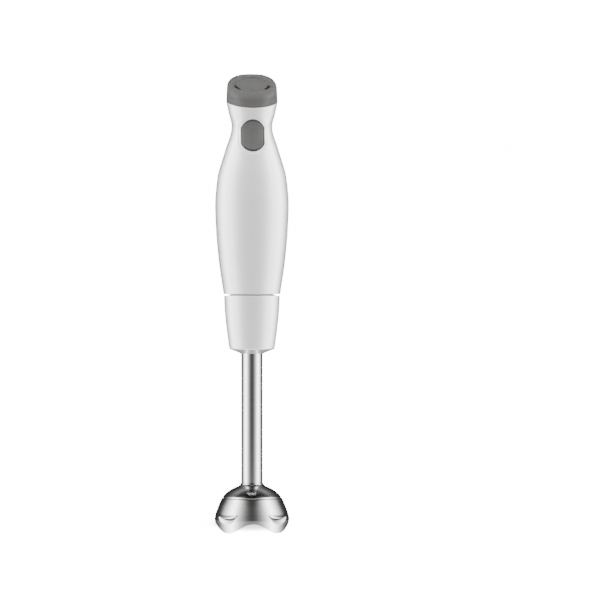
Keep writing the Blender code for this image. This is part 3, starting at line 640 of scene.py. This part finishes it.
def make_collar():
    top, low, steps = COLLAR_TOP, 156.6, 39
    outside = [(top, 23.75), (195.0, 23.5), (189.0, 23.25), (181.4, 22.65), (173.7, 21.8), (166.1, 20.8),
               (161.0, 20.1), (low, 19.42)]
    profile = [(20.7, top - 0.4), (20.95, top - 0.1), (21.2, top), (23.3, top), (23.52, top - 0.05),
               (23.66, top - 0.2), (23.72, top - 0.45)]
    for i in range(1, steps + 1):
        z = top - 0.6 - (top - 0.6 - low) * i / steps
        profile.append((monotone(outside, z), z))
    profile += [
        (19.28, 155.8), (18.95, 155.2), (18.35, 154.75), (17.4, 154.4), (15.4, 153.6), (13.0, 152.7),
        (11.2, 151.9), (10.1, 151.35), (9.6, 151.2), (9.4, 151.45), (9.36, 152.0),
    ]
    profile += [(9.4, 178.5), (6.3, 178.5), (6.3, 184.0), (12.0, 184.0), (12.0, 157.4), (14.8, 157.4),
                (17.0, 162.0), (19.4, 176.0), (20.7, 190.0)]
    collar = lathe("collar", profile, "foot", "white_plastic", ("foot_collar",), 192)
    start = 95
    height = RIDGE_START_Z + THREAD_LEAD / 6 + THREAD_LEAD * start / 360
    lugs = [ridge(f"lug_{i}", 21.2, 18.9, 120 * i + start, 30, height, 14) for i in range(3)]
    join_solids(collar, lugs)


def ridge(name, inner, outer, start, sweep, low, count):
    """A stretch of screw thread, from a start angle over a sweep in degrees."""
    rows = []
    half = 0.8
    tip = half * 0.6
    for i in range(count + 1):
        angle = math.radians(start + sweep * i / count)
        z = low + THREAD_LEAD * sweep * i / count / 360
        corners = ((inner, -half), (outer, -tip), (outer, tip), (inner, half))
        rows.append([around_z(r, angle, z + dz) for r, dz in corners])
    return bar_piece(name, rows, 30)


def make_spigot():
    low, high = mm_box("drive_spigot")
    inner, outer = 16.3, 18.5
    profile = rounded([(inner, high.z, 0.3), (high.x, high.z, 0.4), (high.x, 201.6, 0.4), (outer, 201.6),
                       (outer, low.z, 0.6), (inner, low.z, 0.3)])
    spigot = lathe("threaded_spigot", profile, "handle", "natural_nylon", ("drive_spigot",), 128)
    ridges = [ridge(f"ridge_{i}", outer - 0.7, 20.2, 120 * i, 150, RIDGE_START_Z, 48) for i in range(3)]
    join_solids(spigot, ridges)


def make_seal_ring():
    low, high = mm_box("seal_ring")
    middle, radius = (low.z + high.z) / 2, (high.z - low.z) / 2
    profile = [(19.65 + radius * math.cos(-a), middle + radius * math.sin(-a)) for a in full_turn(20)]
    lathe("joint_ring", profile, "seal_ring", "black_rubber", ("seal_ring",), 144)


def make_tube():
    inner = TUBE_R - 1.0
    profile = rounded([(inner, TUBE_HIGH, 0.2), (TUBE_R, TUBE_HIGH, 0.3), (TUBE_R, TUBE_LOW, 0.12),
                       (inner, TUBE_LOW, 0.2)])
    lathe("steel_tube", profile, "foot", "polished_steel", ("shaft_tube",), 160)


# The bell from its neck down to its edge, as heights and radii
SHOULDER = [
    (41.5, 9.35), (41.3, 9.5), (40.9, 9.62), (40.3, 9.85), (39.7, 10.25), (39.2, 10.8), (38.6, 11.8),
    (37.6, 14.2), (35.9, 17.6), (34.0, 20.5), (32.2, 22.6), (30.7, 24.0), (29.95, 24.6),
]
CREASE = [(29.6, 24.75), (29.4, 24.5), (29.05, 24.45), (28.8, 24.9), (28.4, 25.66)]
SKIRT = [
    (28.4, 25.66), (26.7, 26.45), (22.4, 28.35), (18.2, 29.95), (13.9, 31.3), (12.0, 31.72),
    (11.0, 31.85), (10.0, 31.75), (8.0, 31.35), (4.0, 30.8), (1.2, 30.35), (0.0, 30.2),
]
BELL_WALL = 0.95
WINDOW_HALF, WINDOW_R = 10.6, 31.0  # a window's half length, and the radius it is measured at
TONGUE_LEAN = 2.9  # how far a tongue's free edge stands inside the skirt
BEND_LEAN = 0.15  # and how far the bend below it does


def bell_edge(angle):
    wave = LOBE_RISE * (1 - math.cos(LOBES * (angle - math.pi / 4)))
    return max(0.0, wave - LOBE_FLAT)


def window_share(angle):
    """How far along a window's half length the angle lies, from -1 to 1 inside it."""
    offset = angle % (math.pi / 2) - math.pi / 4
    return offset * WINDOW_R / WINDOW_HALF


def window_low(share):
    """The height of a window's lower edge, by the share of its half length."""
    return 7.4 + 5.4 * share ** 2.2


def window_high(share):
    """The height of its upper edge."""
    return 12.5 + 1.7 * share ** 2


def window_lines(angle):
    """Heights of a window's lower and upper edge, which meet at its ends and stay together beyond them."""
    share = window_share(angle)
    size = abs(share)
    low, high = window_low(min(size, 1)), window_high(min(size, 1))
    middle = (low + high) / 2 if size < 1 else 13.5
    tip = 0.9
    inside = (1 - size) * WINDOW_HALF
    if inside <= 0:
        return middle, middle
    if inside < tip:
        close = math.sqrt(1 - (1 - inside / tip) ** 2)
        low, high = middle + (low - middle) * close, middle + (high - middle) * close
    return low, high


def bell_offset(angle, height, low, high):
    """The window's upper lip flares outwards, and a tongue below it is pressed inwards from its bend."""
    share = min(abs(window_share(angle)), 1.0)
    if height >= high - 0.001:
        return 1.15 * (1 - share ** 2) ** 0.75 * (1 - ease(height, high - 0.2, high + 3.1))
    return -BEND_LEAN * (1 - share ** 2) * ease(height, low - 1.6, low)


def tongue_top(angle, low, high):
    """The height of the tongue's free edge, and how far inside the skirt it stands."""
    share = min(abs(window_share(angle)), 1.0)
    full = window_high(share) - window_low(share)
    close = min(max((high - low) / max(full, 0.001), 0.0), 1.0)
    return low + (13.0 + 0.5 * share ** 2 - low) * close, TONGUE_LEAN * (1 - share ** 2) * close


def make_bell():
    """Rings from the neck down. Each window is a hole, and the rings just below it form its tongue."""
    count = 480
    skin = Skin()
    angles = [a + math.pi / count for a in full_turn(count)]
    rows = []
    for z, r in SHOULDER + CREASE:
        inner_r = r - BELL_WALL * (0.62 if z < 39 else 0.98)
        inner_z = z - BELL_WALL * (0.75 if z < 41 else 0.0)
        rows.append([(around_z(r, a, z), around_z(inner_r, a, inner_z)) for a in angles])

    def add_row(height_of):
        row = []
        for a in angles:
            low, high = window_lines(a)
            z = height_of(a, low, high)
            r = monotone(SKIRT, z) + bell_offset(a, z, low, high)
            row.append((around_z(r, a, z), around_z(r - BELL_WALL, a, z - 0.2 * min(1, z / 9))))
        rows.append(row)

    def add_tongue(t):
        row = []
        for a in angles:
            low, high = window_lines(a)
            z_top, lean = tongue_top(a, low, high)
            z = low + (z_top - low) * t
            share = min(abs(window_share(a)), 1.0)
            r = monotone(SKIRT, z) - lean * t - BEND_LEAN * (1 - share ** 2) * (1 - t)
            row.append((around_z(r, a, z), around_z(r - BELL_WALL, a, z - 0.2)))
        rows.append(row)

    start = SKIRT[0][0]
    upper = 34
    for i in range(1, upper):
        add_row(lambda a, low, high, t=i / upper: start + (high - start) * t)
    add_row(lambda a, low, high: high)
    cut = len(rows) - 1
    for t in (1.0, 0.94, 0.7, 0.4, 0.12):
        add_tongue(t)
    add_row(lambda a, low, high: low)
    lower = 22
    for i in range(1, lower + 1):
        t = i / lower
        add_row(lambda a, low, high, t=t: low + (bell_edge(a) - low) * t)

    def window_hole(i, j):
        middle = angles[j] + math.pi / count
        return i == cut and abs(window_share(middle)) < 1

    skin.grid(rows, wrap=True, skip=window_hole)
    skin.build("bell_guard", "foot", "brushed_steel", ("bell",), sharp=40)


def make_blade():
    """Four wings round a hub: two bent down and two bent up."""
    hub = rounded([(3.3, 16.2), (6.2, 16.2, 0.25), (6.2, 15.0, 0.25), (3.3, 15.0)])
    blade = lathe("blade_hub", hub, "blade_shaft", "polished_steel", ("blade",), 64)
    blade.name = "cutting_blade"
    wings = []
    for k, (reach, rise) in enumerate(((23.0, -4.2), (21.0, 6.0), (23.0, -4.2), (21.0, 6.0))):
        rows = []
        turn = Matrix.Rotation(math.radians(90 * k + 20), 4, "Z")
        for i in range(29):
            share = i / 28
            radius = 4.6 + (reach - 4.6) * share
            bend = max(0.0, (share - 0.15) / 0.85)
            z = 15.6 + rise * bend ** 1.3
            sweep = 1.6 * share ** 2
            back, edge = -4.2 + 1.4 * share - sweep, 4.2 - 3.6 * share ** 2 - sweep
            if share > 0.9:
                back += (edge - back) * 0.35 * ((share - 0.9) / 0.1) ** 2
            half = 0.6
            outline = [
                (back + 0.15, -half), (edge - 1.9, -half), (edge, half * 0.62), (edge - 0.05, half * 0.8),
                (edge - 0.6, half), (back + 0.15, half), (back, half * 0.75), (back, -half * 0.75),
            ]
            rows.append([turn @ Vector((radius, y, z + dz)) for y, dz in outline])
        wings.append(bar_piece(f"wing_{k}", rows, 25))
    join_solids(blade, wings)


# ---------------------------------------------------------------- materials


def math_node(tree, operation, first, second=0.0):
    """A math node's output. Its inputs are numbers or other nodes' outputs."""
    node = tree.nodes.new("ShaderNodeMath")
    node.operation = operation
    for socket, value in zip(node.inputs, (first, second)):
        if isinstance(value, (int, float)):
            socket.default_value = value
        else:
            tree.links.new(value, socket)
    return node.outputs[0]


def ramp_node(tree, source, stops, curve="LINEAR", colour=(1.0, 1.0, 1.0)):
    """A ramp's output. Each stop is a position and a share of the colour."""
    node = tree.nodes.new("ShaderNodeValToRGB")
    node.color_ramp.interpolation = curve
    for _ in stops[2:]:
        node.color_ramp.elements.new(0.5)
    for element, (position, share) in zip(node.color_ramp.elements, stops):
        element.position = position
        element.color = (*(c * share for c in colour), 1)
    tree.links.new(source, node.inputs[0])
    return node.outputs[0]


class Look:
    """A procedural Principled material."""

    def __init__(self, name, colour, roughness, metallic=0.0, **sockets):
        self.material = bpy.data.materials.new(name)
        self.material.use_nodes = True
        self.tree = self.material.node_tree
        self.nodes, self.links = self.tree.nodes, self.tree.links
        self.shader = self.nodes["Principled BSDF"]
        self.colour = colour
        self.shader.inputs["Base Color"].default_value = (*colour, 1)
        self.shader.inputs["Roughness"].default_value = roughness
        self.shader.inputs["Metallic"].default_value = metallic
        for key, value in sockets.items():
            self.shader.inputs[key.replace("_", " ")].default_value = value

    def place(self):
        return self.nodes.new("ShaderNodeTexCoord").outputs["Object"]

    def math(self, *parts):
        return math_node(self.tree, *parts)

    def noise(self, scale, detail=3.0, vector=None, roughness=0.55):
        node = self.nodes.new("ShaderNodeTexNoise")
        node.inputs["Scale"].default_value = scale
        node.inputs["Detail"].default_value = detail
        node.inputs["Roughness"].default_value = roughness
        self.links.new(vector or self.place(), node.inputs["Vector"])
        return node.outputs["Fac"]

    def scaled(self, factors):
        """The object's coordinates, scaled apart along X, Y and Z."""
        node = self.nodes.new("ShaderNodeMapping")
        node.inputs["Scale"].default_value = factors
        self.links.new(self.place(), node.inputs["Vector"])
        return node.outputs[0]

    def round_axis(self, turns, across):
        """Coordinates that stretch a texture into rings round Z."""
        split = self.nodes.new("ShaderNodeSeparateXYZ")
        self.links.new(self.place(), split.inputs[0])
        x, y, z = split.outputs
        angle = self.math("ARCTAN2", y, x)
        squares = self.math("ADD", self.math("MULTIPLY", x, x), self.math("MULTIPLY", y, y))
        radius = self.math("SQRT", squares)
        joined = self.nodes.new("ShaderNodeCombineXYZ")
        self.links.new(self.math("MULTIPLY", self.math("COSINE", angle), turns), joined.inputs[0])
        self.links.new(self.math("MULTIPLY", self.math("SINE", angle), turns), joined.inputs[1])
        self.links.new(self.math("MULTIPLY", self.math("ADD", radius, z), across), joined.inputs[2])
        return joined.outputs[0]

    def tint(self, source, darker, lighter, start=0.3, end=0.7):
        """The base colour wanders between darker and lighter shades of itself."""
        shades = ramp_node(self.tree, source, [(start, darker), (end, lighter)], colour=self.colour)
        self.links.new(shades, self.shader.inputs["Base Color"])

    def facing_painted_light(self, stops):
        """Painted shade and painted highlights: the base colour follows how far the surface turns away from
        the viewer.
        """
        weight = self.nodes.new("ShaderNodeLayerWeight")
        weight.inputs["Blend"].default_value = 0.5
        shades = ramp_node(self.tree, weight.outputs["Facing"], stops, colour=self.colour)
        self.links.new(shades, self.shader.inputs["Base Color"])

    def polish(self, source, low, high):
        """The roughness wanders between low and high."""
        node = self.nodes.new("ShaderNodeMapRange")
        for socket, value in (("From Min", 0.3), ("From Max", 0.7), ("To Min", low), ("To Max", high)):
            node.inputs[socket].default_value = value
        self.links.new(source, node.inputs["Value"])
        self.links.new(node.outputs["Result"], self.shader.inputs["Roughness"])

    def bump(self, source, distance, strength):
        node = self.nodes.new("ShaderNodeBump")
        node.inputs["Distance"].default_value = distance
        node.inputs["Strength"].default_value = strength
        self.links.new(source, node.inputs["Height"])
        self.links.new(node.outputs[0], self.shader.inputs["Normal"])


def make_looks():
    looks = {}

    white = Look("white_gloss", (0.95, 0.95, 0.945), 0.2, Coat_Weight=1.0, Coat_Roughness=0.2,
                 Coat_IOR=1.8, IOR=1.5)
    # Painted shade and painted highlights on the white plastic: darker face-on, brightest on the flanks,
    # darkest towards the outline.
    white.facing_painted_light([(0.0, 0.36), (0.06, 0.43), (0.134, 0.54), (0.234, 0.7), (0.35, 1.0), (0.42, 0.95),
                       (0.5, 0.7), (0.63, 0.38), (0.83, 0.18), (1.0, 0.14)])
    white.polish(white.noise(420, 4), 0.16, 0.26)
    white.bump(white.noise(2600, 2), 0.000006, 0.5)
    looks["white_plastic"] = white

    grey = Look("grey_satin", (0.045, 0.0445, 0.0435), 0.42, IOR=1.3)
    grey.tint(grey.noise(900, 5), 0.93, 1.06)
    grey.polish(grey.noise(600, 4), 0.36, 0.5)
    grey.bump(grey.noise(5200, 3), 0.00002, 0.55)
    looks["grey_plastic"] = grey

    steel = Look("polished_steel", (0.74, 0.74, 0.735), 0.14, 1.0)
    rings = steel.noise(1.0, 4, steel.round_axis(1.2, 2600))
    steel.polish(rings, 0.11, 0.19)
    steel.tint(steel.noise(60, 3), 0.97, 1.02)
    steel.bump(rings, 0.0000016, 0.5)
    looks["polished_steel"] = steel

    brushed = Look("brushed_steel", (0.70, 0.70, 0.695), 0.18, 1.0)
    lines = brushed.noise(1.0, 6, brushed.round_axis(1.5, 3200), 0.7)
    broad = brushed.noise(1.0, 3, brushed.round_axis(1.0, 420))
    brushed.tint(lines, 0.86, 1.08, 0.25, 0.75)
    brushed.polish(broad, 0.15, 0.21)
    brushed.bump(lines, 0.000002, 0.5)
    looks["brushed_steel"] = brushed

    rubber = Look("black_rubber", (0.018, 0.018, 0.018), 0.62)
    rubber.tint(rubber.noise(800, 4), 0.8, 1.4)
    rubber.polish(rubber.noise(500, 3), 0.52, 0.72)
    rubber.bump(rubber.noise(4200, 3), 0.00002, 0.5)
    looks["black_rubber"] = rubber

    black = Look("black_plastic", (0.028, 0.028, 0.03), 0.42)
    black.tint(black.noise(700, 4), 0.85, 1.3)
    black.polish(black.noise(400, 4), 0.34, 0.52)
    black.bump(black.noise(3600, 3), 0.000015, 0.5)
    looks["black_plastic"] = black

    copper = Look("copper_wire", (0.72, 0.27, 0.12), 0.3, 1.0)
    strands = copper.noise(1.0, 2, copper.scaled((900, 900, 2600)))
    copper.tint(strands, 0.7, 1.15, 0.35, 0.65)
    copper.polish(strands, 0.24, 0.42)
    copper.bump(strands, 0.00006, 0.6)
    looks["copper"] = copper

    brass = Look("machined_brass", (0.72, 0.52, 0.22), 0.3, 1.0)
    turned = brass.noise(1.0, 4, brass.round_axis(1.5, 2400))
    brass.tint(brass.noise(300, 3), 0.9, 1.05)
    brass.polish(turned, 0.22, 0.38)
    brass.bump(turned, 0.000004, 0.5)
    looks["brass"] = brass

    iron = Look("lamination_iron", (0.25, 0.25, 0.27), 0.45, 1.0)
    sheets = iron.noise(1.0, 1, iron.scaled((6, 6, 2000)))
    iron.tint(sheets, 0.65, 1.2, 0.35, 0.65)
    iron.polish(sheets, 0.36, 0.6)
    iron.bump(sheets, 0.00008, 0.7)
    looks["lamination_iron"] = iron

    carbon = Look("pressed_carbon", (0.04, 0.04, 0.045), 0.5)
    carbon.tint(carbon.noise(2600, 5), 0.6, 1.7)
    carbon.polish(carbon.noise(1500, 4), 0.42, 0.65)
    carbon.bump(carbon.noise(3500, 4), 0.00002, 0.5)
    looks["carbon"] = carbon

    board = Look("board_laminate", (0.03, 0.18, 0.07), 0.4)
    board.tint(board.noise(500, 5), 0.8, 1.25)
    board.polish(board.noise(900, 4), 0.32, 0.5)
    board.bump(board.noise(2200, 3), 0.00001, 0.5)
    looks["circuit_board"] = board

    amber = Look("amber_resin", (0.65, 0.32, 0.04), 0.25, Coat_Weight=0.4)
    amber.tint(amber.noise(260, 4), 0.85, 1.1)
    amber.polish(amber.noise(400, 3), 0.2, 0.34)
    amber.bump(amber.noise(700, 2), 0.00006, 0.4)
    looks["amber_resin"] = amber

    nylon = Look("natural_nylon", (0.72, 0.70, 0.64), 0.38)
    nylon.tint(nylon.noise(220, 4), 0.95, 1.03)
    nylon.polish(nylon.noise(600, 4), 0.32, 0.46)
    nylon.bump(nylon.noise(3000, 3), 0.000015, 0.5)
    looks["natural_nylon"] = nylon
    return looks


def dress(looks):
    """Gives every CAD node and every new piece its material."""
    slots = {row["node"]: row["material_slot"] for row in frame["record"]["subparts"]}
    for name, node in frame["nodes"].items():
        node.data.materials.clear()
        node.data.materials.append(looks[slots[name]].material)
        node.data.shade_smooth()
        weld = node.modifiers.new("Weld", "WELD")
        weld.merge_threshold = 0.000005
        split = node.modifiers.new("Edges", "EDGE_SPLIT")
        split.split_angle = math.radians(35)
    for obj in bpy.context.scene.objects:
        if "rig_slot" in obj:
            obj.data.materials.clear()
            obj.data.materials.append(looks[obj["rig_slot"]].material)


# ---------------------------------------------------------------- stage


BACKDROP = 16.0
# The painted shadow on the floor: how far behind it lies, its reach sideways and lengthwise, and how it
# fades outwards.
SHADOW_BACK, SHADOW_WIDE, SHADOW_LONG = 0.1, 0.038, 0.11  # metres: it lies behind the blender
SHADOW_FADE = [(0.0, 0.08), (0.5, 0.16), (0.73, 0.38), (0.86, 0.72), (1.0, 1.0)]


def make_stage():
    """A floor as bright as the backdrop, with a painted shadow: it fades to a soft grey patch under and
    behind the blender.
    """
    half = 6.0
    mesh = bpy.data.meshes.new("floor")
    corners = [(-half, -half, 0), (half, -half, 0), (half, half, 0), (-half, half, 0)]
    mesh.from_pydata(corners, [], [(0, 1, 2, 3)])
    floor = bpy.data.objects.new("floor", mesh)
    bpy.context.scene.collection.objects.link(floor)
    floor.location.z = -0.0002
    material = bpy.data.materials.new("pale_floor")
    material.use_nodes = True
    tree = material.node_tree
    nodes, links = tree.nodes, tree.links
    nodes.remove(nodes["Principled BSDF"])
    light = nodes.new("ShaderNodeEmission")
    light.inputs["Strength"].default_value = BACKDROP
    links.new(light.outputs[0], nodes["Material Output"].inputs["Surface"])
    place = nodes.new("ShaderNodeMapping")
    place.inputs["Location"].default_value = (0, -SHADOW_BACK / SHADOW_LONG, 0)
    place.inputs["Scale"].default_value = (1 / SHADOW_WIDE, 1 / SHADOW_LONG, 0)
    links.new(nodes.new("ShaderNodeTexCoord").outputs["Object"], place.inputs["Vector"])
    length = nodes.new("ShaderNodeVectorMath")
    length.operation = "LENGTH"
    links.new(place.outputs[0], length.inputs[0])
    # Painted shadow: the floor's glow dims towards the middle of the patch.
    links.new(ramp_node(tree, length.outputs["Value"], SHADOW_FADE, "EASE"), light.inputs["Color"])
    mesh.materials.append(material)
    floor.visible_diffuse = False
    floor.visible_glossy = False
    floor.visible_transmission = False
    floor.visible_shadow = False


# The light that shiny surfaces see, by degrees round from the front
GLOSS_STOPS = [
    (0, 0.07), (13, 0.15), (25, 0.4), (40, 1.3), (55, 4.2), (70, 8.6), (84, 5.5), (97, 2.4),
    (110, 0.8), (124, 0.12), (137, 0.02), (180, 0.015),
]
# Shares of light by height, where 0 is straight down, 0.5 level and 1 straight up
GLOSS_UPRIGHT = [(0.0, 0.5), (0.3, 1.0), (0.845, 1.0), (0.87, 0.25), (0.9, 0.05), (1.0, 0.0)]
GLOSS_BELOW = [(0.0, 0.6), (0.35, 0.3), (0.46, 0.0)]
GLOSS_OVERHEAD = [
    (0.74, 0.02), (0.8, 0.1), (0.85, 0.2), (0.89, 0.42), (0.92, 0.38), (0.95, 0.08), (1.0, 0.03),
]
# Shares by turn, where 0 is the front and 1 the back
GLOSS_BEHIND = [(0.55, 0.0), (0.8, 1.0), (0.94, 1.0), (0.985, 0.15), (1.0, 0.1)]
VIEW_TURN = math.radians(2.2)
SOFT_AROUND = [(0.0, 0.34), (0.44, 0.34), (0.51, 1.0), (0.78, 1.0), (0.86, 0.36), (1.0, 0.34)]
SOFT_UPRIGHT = [(0.0, 0.05), (0.35, 0.35), (0.5, 1.0), (0.8, 1.0), (1.0, 0.5)]
SOFT_LIGHT = 14.0


def make_world():
    """A plain white backdrop, with soft light all round that is stronger at both sides towards the back.

    Shiny surfaces get a light of their own: two tall softboxes whose edges fade out, and a patch
    high up behind."""
    world = bpy.data.worlds.new("studio")
    bpy.context.scene.world = world
    world.use_nodes = True
    tree = world.node_tree
    nodes, links = tree.nodes, tree.links
    nodes.clear()
    split = nodes.new("ShaderNodeSeparateXYZ")
    links.new(nodes.new("ShaderNodeTexCoord").outputs["Generated"], split.inputs[0])
    x, y, z = split.outputs

    def maths(*parts):
        return math_node(tree, *parts)

    def ramp(source, stops, curve="EASE"):
        return ramp_node(tree, source, stops, curve)

    height = maths("ADD", maths("MULTIPLY", z, 0.5), 0.5)
    turn = maths("ADD", maths("ARCTAN2", x, maths("MULTIPLY", y, -1.0)), VIEW_TURN)
    side = maths("DIVIDE", maths("ABSOLUTE", turn), math.pi)
    decades = [(angle / 180, (math.log10(level) + 2) / 3) for angle, level in GLOSS_STOPS]
    power = maths("SUBTRACT", maths("MULTIPLY", ramp(side, decades, "LINEAR"), 3.0), 2.0)
    around = maths("POWER", 10.0, power)
    gloss = maths("MULTIPLY", around, ramp(height, GLOSS_UPRIGHT))
    gloss = maths("ADD", gloss, ramp(height, GLOSS_BELOW))
    gloss = maths("ADD", gloss, maths("MULTIPLY", ramp(height, GLOSS_OVERHEAD), ramp(side, GLOSS_BEHIND)))
    soft = maths("MULTIPLY", ramp(side, SOFT_AROUND), ramp(height, SOFT_UPRIGHT))
    soft = maths("MULTIPLY", soft, SOFT_LIGHT)

    def background(strength):
        node = nodes.new("ShaderNodeBackground")
        node.inputs["Color"].default_value = (1, 1, 1, 1)
        if isinstance(strength, float):
            node.inputs["Strength"].default_value = strength
        else:
            links.new(strength, node.inputs["Strength"])
        return node.outputs[0]

    def choose(chooser, first, second):
        mix = nodes.new("ShaderNodeMixShader")
        for socket, source in zip(mix.inputs, (chooser, first, second)):
            links.new(source, socket)
        return mix.outputs[0]

    rays = nodes.new("ShaderNodeLightPath")
    lit = choose(rays.outputs["Is Diffuse Ray"], background(gloss), background(soft))
    out = nodes.new("ShaderNodeOutputWorld")
    links.new(choose(rays.outputs["Is Camera Ray"], lit, background(BACKDROP)), out.inputs["Surface"])


def make_camera():
    sensor, distance, height, width_seen = 36.0, 2.8, 0.1967, 0.51
    data = bpy.data.cameras.new("camera")
    data.sensor_width = sensor
    data.lens = sensor * distance / width_seen
    data.clip_end = 50.0
    camera = bpy.data.objects.new("camera", data)
    camera.location = (-distance * math.sin(VIEW_TURN), -distance * math.cos(VIEW_TURN), height)
    camera.rotation_euler = (math.radians(90), 0, math.radians(-3.036))
    bpy.context.scene.collection.objects.link(camera)
    bpy.context.scene.camera = camera


# ---------------------------------------------------------------- everything in turn

make_front_shell()
make_rear_shell()
make_cap()
make_gland()
make_button()
make_collar()
make_spigot()
make_seal_ring()
make_tube()
make_bell()
make_blade()
dress(make_looks())
make_stage()
make_world()
make_camera()
